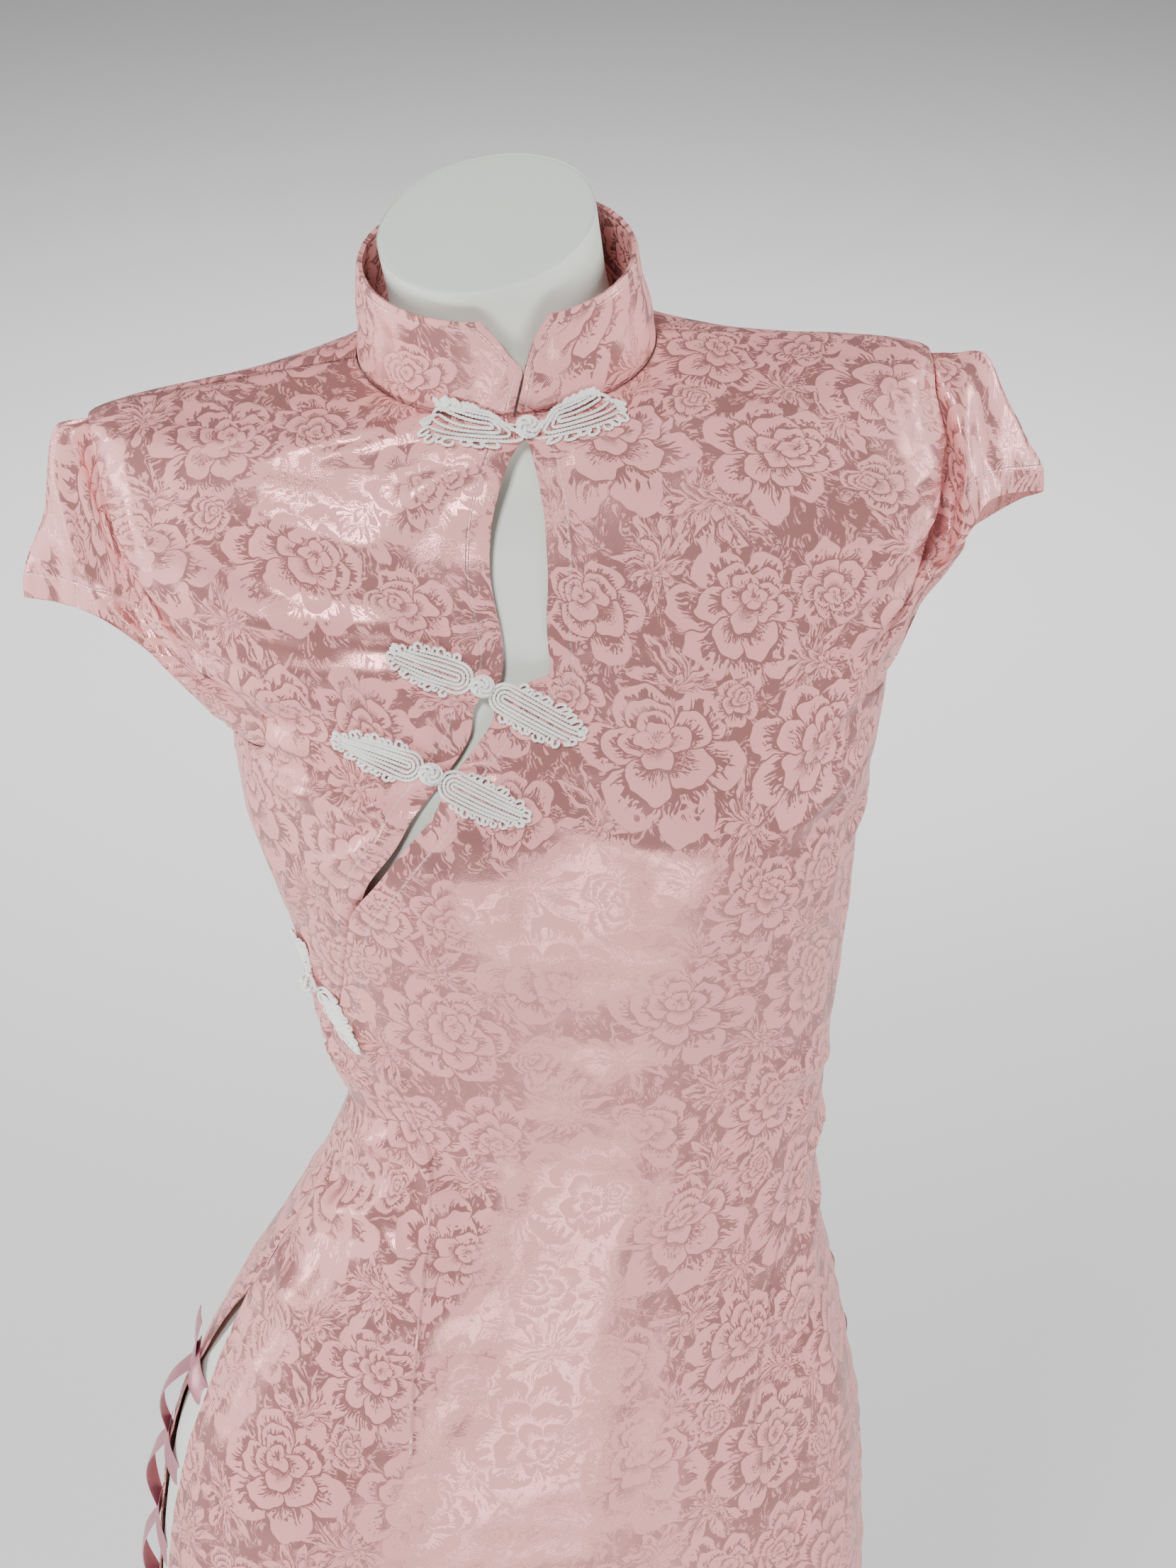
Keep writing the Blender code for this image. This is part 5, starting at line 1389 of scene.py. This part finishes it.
def nearest_flower(net, place):
    """The place from the middle of the flower that is in front there, in its reaches, and the flower's facts:
    its petals, turn and bite."""
    half = (REPEAT[0] / 2, REPEAT[1] / 2, 1.0)
    least = None
    for flower in FLOWERS:
        off = net.vector("SUBTRACT", place, (flower.across, flower.up, 0.0))
        off = net.vector("WRAP", off, half, tuple(-size for size in half))
        scaled = net.scaled(off, 1 / flower.reach)
        away = net.vector("LENGTH", scaled)
        order = net.math("MULTIPLY_ADD", net.math("LESS_THAN", away, 0.97), -flower.front, away)
        facts = (float(flower.petals), flower.turn, flower.bite)
        if least is None:
            least, spot, kind = order, scaled, facts
            continue
        wins = net.math("LESS_THAN", order, least)
        spot = net.mix(wins, spot, scaled, "VECTOR")
        kind = net.mix(wins, kind, facts, "VECTOR")
        least = net.math("MINIMUM", order, least)
    return spot, kind


def petal_rings(net, spot, petals, turned, bite):
    """How far a place lies inside its petal's outer edge, outside its inner one and towards its side, and how
    far inside the whole flower. The inner rings lie off the middle, one way for each flower."""
    lean = net.times(turned, 2 * np.pi * 3)
    lean = net.joined(net.math("COSINE", lean), net.math("SINE", lean), 0.0)
    point = net.math("MULTIPLY_ADD", bite, -2.7, 3.5)
    insets = []
    sides = []
    for number, (reach, off_middle) in enumerate(PETAL_RINGS):
        ring = net.vector("SUBTRACT", spot, net.scaled(lean, off_middle))
        x, y, _ = net.apart(ring)
        turn = net.math("DIVIDE", net.math("ARCTAN2", y, x), 2 * np.pi)
        count = net.minus(petals, float(number))
        share = net.math("MULTIPLY_ADD", turn, count, net.math("MULTIPLY_ADD", turned, 7.0, number * 0.37))
        side = net.math("ABSOLUTE", net.minus(net.times(net.math("FRACT", share), 2.0), 1.0))
        lobe = net.minus(1.0, net.times(net.math("POWER", side, point), bite))
        insets.append(net.minus(net.times(lobe, reach), net.vector("LENGTH", ring)))
        sides.append(side)
    far, near, side = insets[0], net.times(insets[1], -1.0), sides[0]
    for number in (1, 2, 3):
        inside = net.math("GREATER_THAN", insets[number], 0.0)
        base = net.times(insets[number + 1], -1.0) if number < 3 else net.vector("LENGTH", ring)
        far = net.mix(inside, far, insets[number])
        near = net.mix(inside, near, base)
        side = net.mix(inside, side, sides[number])
    return far, net.math("MAXIMUM", near, 0.0), side, insets[0]


def damask(net, cut):
    """The woven figure, 1 on a petal and 0 on the ground: flowers placed as listed, each petal feathered at its
    base, with feathery leaves between the flowers."""
    place = net.strayed(cut, net.noise(cut, 0.026, 1.0, colour=True), 13.0)
    ruffle = net.noise(cut, 0.16, 0.0, colour=True)
    spot, kind = nearest_flower(net, net.strayed(place, ruffle, 3.2))
    petals, turned, bite = net.apart(kind)
    far, near, side, inset = petal_rings(net, spot, petals, turned, bite)
    up_petal = net.math("DIVIDE", near, net.math("MAXIMUM", net.plus(near, far), 0.001))
    ahead = net.vector("NORMALIZE", spot)
    radius = net.vector("LENGTH", spot)
    depth = net.joined(0.0, 0.0, net.math("MULTIPLY_ADD", radius, 1.6, net.times(turned, 9.0)))
    streaks = net.noise(net.vector("ADD", net.scaled(ahead, 19.0), depth), 1.0, 1.0, flat=False)
    streak = net.ramp(streaks, 0.32, 0.70)
    lift = net.minus(1.0, net.times(net.times(side, side), 0.45))
    start = net.times(net.math("MULTIPLY_ADD", streak, 0.56, 0.05), lift)
    petal = net.ramp(up_petal, start, net.plus(start, 0.06))
    gap = net.ramp(net.minus(1.0, side), 0.02, 0.07)
    rim = net.ramp(inset, 0.0, 0.02)
    flower = net.times(net.times(petal, gap), rim)
    comb = net.vector("ADD", net.scaled(ahead, 24.0), net.scaled(depth, 2.0))
    feather = net.noise(comb, 1.0, 1.0, flat=False)
    patches, _, _ = net.apart(ruffle)
    leaf = net.times(net.ramp(feather, 0.50, 0.56), net.ramp(patches, 0.42, 0.52))
    leaf = net.times(leaf, net.minus(1.0, rim))
    return net.math("MAXIMUM", flower, net.times(leaf, 0.8))


def satin_look():
    net = Net("pink_damask_satin")
    cut = net.cut()
    figure = damask(net, cut)
    wide = net.noise(cut, 0.02, 1.0)
    ground = net.mix(wide, (0.46, 0.188, 0.182, 1), (0.52, 0.225, 0.215, 1), "RGBA")
    petal = net.mix(wide, (0.81, 0.330, 0.315, 1), (0.87, 0.375, 0.358, 1), "RGBA")
    colour = net.mix(figure, ground, petal, "RGBA")
    names = ("stitched", "sewn", "dart", "along")
    stitched, sewn, dart, along = (net.times(net.mark(name), 1000.0) for name in names)
    line = net.minus(1.0, net.ramp(net.math("ABSOLUTE", net.minus(stitched, 10.0)), 0.25, 0.85))
    dash = net.ramp(net.math("PINGPONG", along, 1.5), 0.25, 0.5)
    thread = net.times(line, dash)
    colour = net.mix(net.times(thread, 0.45), colour, (0.86, 0.62, 0.60, 1), "RGBA")
    # Painted shade: the cloth's colour darkens along each seam's ditch and each dart's line, standing in for
    # the shadow in these grooves, which the bump below also presses in
    ditch = net.minus(1.0, net.ramp(sewn, 0.2, 1.4))
    tuck = net.minus(1.0, net.ramp(net.math("ABSOLUTE", dart), 0.2, 1.3))
    tuck = net.times(tuck, net.mark("dart_on"))
    shaded_groove = net.math("MAXIMUM", ditch, tuck)
    colour = net.mix(net.times(shaded_groove, 0.45), colour, (0.30, 0.13, 0.13, 1), "RGBA")
    net.put(colour, net.shader.inputs["Base Color"])
    net.put(net.mix(figure, 0.27, 0.56), net.shader.inputs["Roughness"])
    net.put(net.mix(figure, 0.45, 0.0), net.shader.inputs["Metallic"])
    net.shader.inputs["Specular IOR Level"].default_value = 0.55
    net.shader.inputs["Sheen Weight"].default_value = 0.05
    net.shader.inputs["Sheen Roughness"].default_value = 0.35
    rumple = net.noise(cut, 0.055, 3.0)
    u, v, _ = net.apart(cut)
    twill = net.math("SINE", net.times(net.plus(u, net.times(v, 0.7)), 2 * np.pi / 0.9))
    grain = net.noise(cut, 1.3, 1.0)
    fine = net.math("MULTIPLY_ADD", twill, 0.010, net.times(grain, 0.045))
    height = net.math("MULTIPLY_ADD", rumple, 0.36, fine)
    pressed = net.plus(net.times(line, 0.22), net.times(shaded_groove, 0.45))
    height = net.minus(height, pressed)
    net.put(net.bump(height, 1.0), net.shader.inputs["Normal"])
    return net.look


def cord_look():
    net = Net("white_twisted_cord")
    place = net.scaled(net.place(), 1000.0)
    soft = net.noise(place, 0.5, 1.0, flat=False)
    colour = net.mix(soft, (0.86, 0.87, 0.82, 1), (0.93, 0.93, 0.90, 1), "RGBA")
    net.put(colour, net.shader.inputs["Base Color"])
    net.shader.inputs["Roughness"].default_value = 0.38
    net.shader.inputs["Sheen Weight"].default_value = 0.25
    fibre = net.noise(place, 3.0, 1.0, flat=False)
    net.put(net.bump(fibre, 0.12), net.shader.inputs["Normal"])
    return net.look


def ribbon_look():
    net = Net("rose_ribbon")
    cut = net.cut()
    _, v, _ = net.apart(cut)
    rib = net.math("SINE", net.times(v, 2 * np.pi / 0.8))
    soft = net.noise(cut, 0.06, 2.0)
    colour = net.mix(soft, (0.46, 0.17, 0.22, 1), (0.56, 0.23, 0.28, 1), "RGBA")
    net.put(colour, net.shader.inputs["Base Color"])
    net.shader.inputs["Roughness"].default_value = 0.30
    net.shader.inputs["Metallic"].default_value = 0.25
    net.shader.inputs["Specular IOR Level"].default_value = 0.6
    height = net.math("MULTIPLY_ADD", rib, 0.03, net.times(soft, 0.5))
    net.put(net.bump(height, 1.0), net.shader.inputs["Normal"])
    return net.look


def form_look():
    net = Net("white_form_shell")
    place = net.scaled(net.place(), 1000.0)
    soft = net.noise(place, 0.012, 2.0, flat=False)
    colour = net.mix(soft, (0.74, 0.80, 0.71, 1), (0.80, 0.85, 0.77, 1), "RGBA")
    net.put(colour, net.shader.inputs["Base Color"])
    grain = net.noise(place, 1.1, 2.0, flat=False)
    net.put(net.mix(grain, 0.46, 0.60), net.shader.inputs["Roughness"])
    net.put(net.bump(grain, 0.05), net.shader.inputs["Normal"])
    return net.look


def steel_look():
    net = Net("brushed_stand_steel")
    place = net.vector("MULTIPLY", net.place(), (60.0, 60.0, 2500.0))
    lines = net.noise(place, 1.0, 2.0, flat=False)
    colour = net.mix(lines, (0.60, 0.60, 0.61, 1), (0.70, 0.70, 0.70, 1), "RGBA")
    net.put(colour, net.shader.inputs["Base Color"])
    net.put(net.mix(lines, 0.24, 0.40), net.shader.inputs["Roughness"])
    net.shader.inputs["Metallic"].default_value = 1.0
    return net.look


def floor_look():
    net = Net("pale_floor")
    soft = net.noise(net.place(), 1.5, 3.0, flat=False)
    colour = net.mix(soft, (0.80, 0.79, 0.78, 1), (0.84, 0.83, 0.82, 1), "RGBA")
    net.put(colour, net.shader.inputs["Base Color"])
    net.shader.inputs["Roughness"].default_value = 0.75
    return net.look


# The lights: where each stands, what it is aimed at, its width and height, and its power
Light = namedtuple("Light", "name place aim size power")
LIGHTS = (
    Light("key", (-0.45, -1.30, 2.45), (0.02, 0, 1.15), (0.30, 0.30), 30),
    Light("low_fill", (0.12, -1.45, 0.30), (0.02, 0, 1.1), (1.0, 0.6), 19),
    Light("side_right", (1.45, 0.10, 1.75), (0.05, 0, 1.2), (0.35, 1.2), 26),
    Light("side_left", (-1.45, 0.10, 1.35), (0, 0, 1.1), (0.35, 1.2), 26),
    Light("backdrop", (0.3, 2.6, 2.4), (0.2, 4.0, 0.0), (2.5, 1.0), 130),
)
SKY = (0.86, 0.87, 0.90, 1)
SKY_STRENGTH = 0.22
FLOOR_REACH = 12
FLOOR_DROP = 0.0005

# The photo's own view: about 28 degrees down, from a little to the wearer's right
CAMERA_PLACE = (-0.0917, -1.4249, 1.9760)
CAMERA_AIM = (0.033, 0, 1.2155)
CAMERA_LENS = 76.17
SENSOR_WIDTH = 36


def aimed(name, data, place, aim):
    """A light or camera at a place, turned to its aim."""
    obj = bpy.data.objects.new(name, data)
    obj.location = place
    obj.rotation_mode = "QUATERNION"
    obj.rotation_quaternion = (Vector(aim) - Vector(place)).to_track_quat("-Z", "Y")
    bpy.context.scene.collection.objects.link(obj)
    return obj


def studio():
    mesh = bpy.data.meshes.new("floor")
    corners = ((-1, -1), (1, -1), (1, 1), (-1, 1))
    mesh.from_pydata([(FLOOR_REACH * x, FLOOR_REACH * y, 0) for x, y in corners], [], [(0, 1, 2, 3)])
    mesh.materials.append(floor_look())
    floor = bpy.data.objects.new("floor", mesh)
    floor.location.z = -FLOOR_DROP
    bpy.context.scene.collection.objects.link(floor)
    for lamp in LIGHTS:
        data = bpy.data.lights.new(lamp.name, "AREA")
        data.shape = "RECTANGLE"
        data.size, data.size_y = lamp.size
        data.energy = lamp.power
        aimed(lamp.name, data, lamp.place, lamp.aim)
    world = bpy.data.worlds.new("studio")
    world.use_nodes = True
    world.node_tree.nodes["Background"].inputs[0].default_value = SKY
    world.node_tree.nodes["Background"].inputs[1].default_value = SKY_STRENGTH
    bpy.context.scene.world = world


def camera():
    data = bpy.data.cameras.new("camera")
    data.lens = CAMERA_LENS
    data.sensor_width = SENSOR_WIDTH
    bpy.context.scene.camera = aimed("camera", data, CAMERA_PLACE, CAMERA_AIM)


def main():
    camera()
    studio()
    satin = satin_look()
    cord = cord_look()
    ribbon = ribbon_look()
    shell = form_look()
    steel = steel_look()
    made = (
        (front_piece(satin), "front_main", (0.46, 0.95), 0.335, "stretched"),
        (chest_piece(satin), "front_chest", (0.20, 0.42), 0.045, "stretched"),
        (back_piece(satin), "back", (0.46, 0.95), 0.355, "stretched"),
        (collar_piece(satin), "collar", (0.38, 0.052), None, "stretched"),
        (sleeve_piece("cap_sleeve_right", RIGHT_SLEEVE, RIGHT_TUCKS, satin, (0.05, 0.11)), "sleeve_right",
         (0.32, 0.09), 0.020, "draped"),
        (sleeve_piece("cap_sleeve_left", LEFT_SLEEVE, LEFT_TUCKS, satin, (0.11, 0.07)), "sleeve_left",
         (0.32, 0.09), 0.020, "draped"),
    )
    for obj, node, flat, area, held in made:
        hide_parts(node)
    for number, frog in enumerate(FROGS, 1):
        ends = (("right", frog.right_angle, frog.right_level), ("left", frog.left_angle, frog.left_level))
        for side, angle, level in ends:
            obj = frog_piece(f"frog_cord_{number}_{side}", frog, angle, level, number * 2.0 + len(side), cord)
            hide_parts(f"frog_{number}_{side}")
        obj = knot_piece(f"frog_ball_{number}", frog, number * 0.8, cord)
        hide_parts(f"frog_{number}_knot")
    for side in ("right", "left"):
        obj = lace_piece(f"ribbon_lace_{side}", side == "right", ribbon)
        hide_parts(f"lace_{side}")
    obj = form_piece(shell)
    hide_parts("form_torso")
    obj = lathe_piece("pole", POLE_PROFILE, steel)
    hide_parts("stand_pole")
    obj = lathe_piece("base", BASE_PROFILE, steel)
    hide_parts("stand_base")


main()
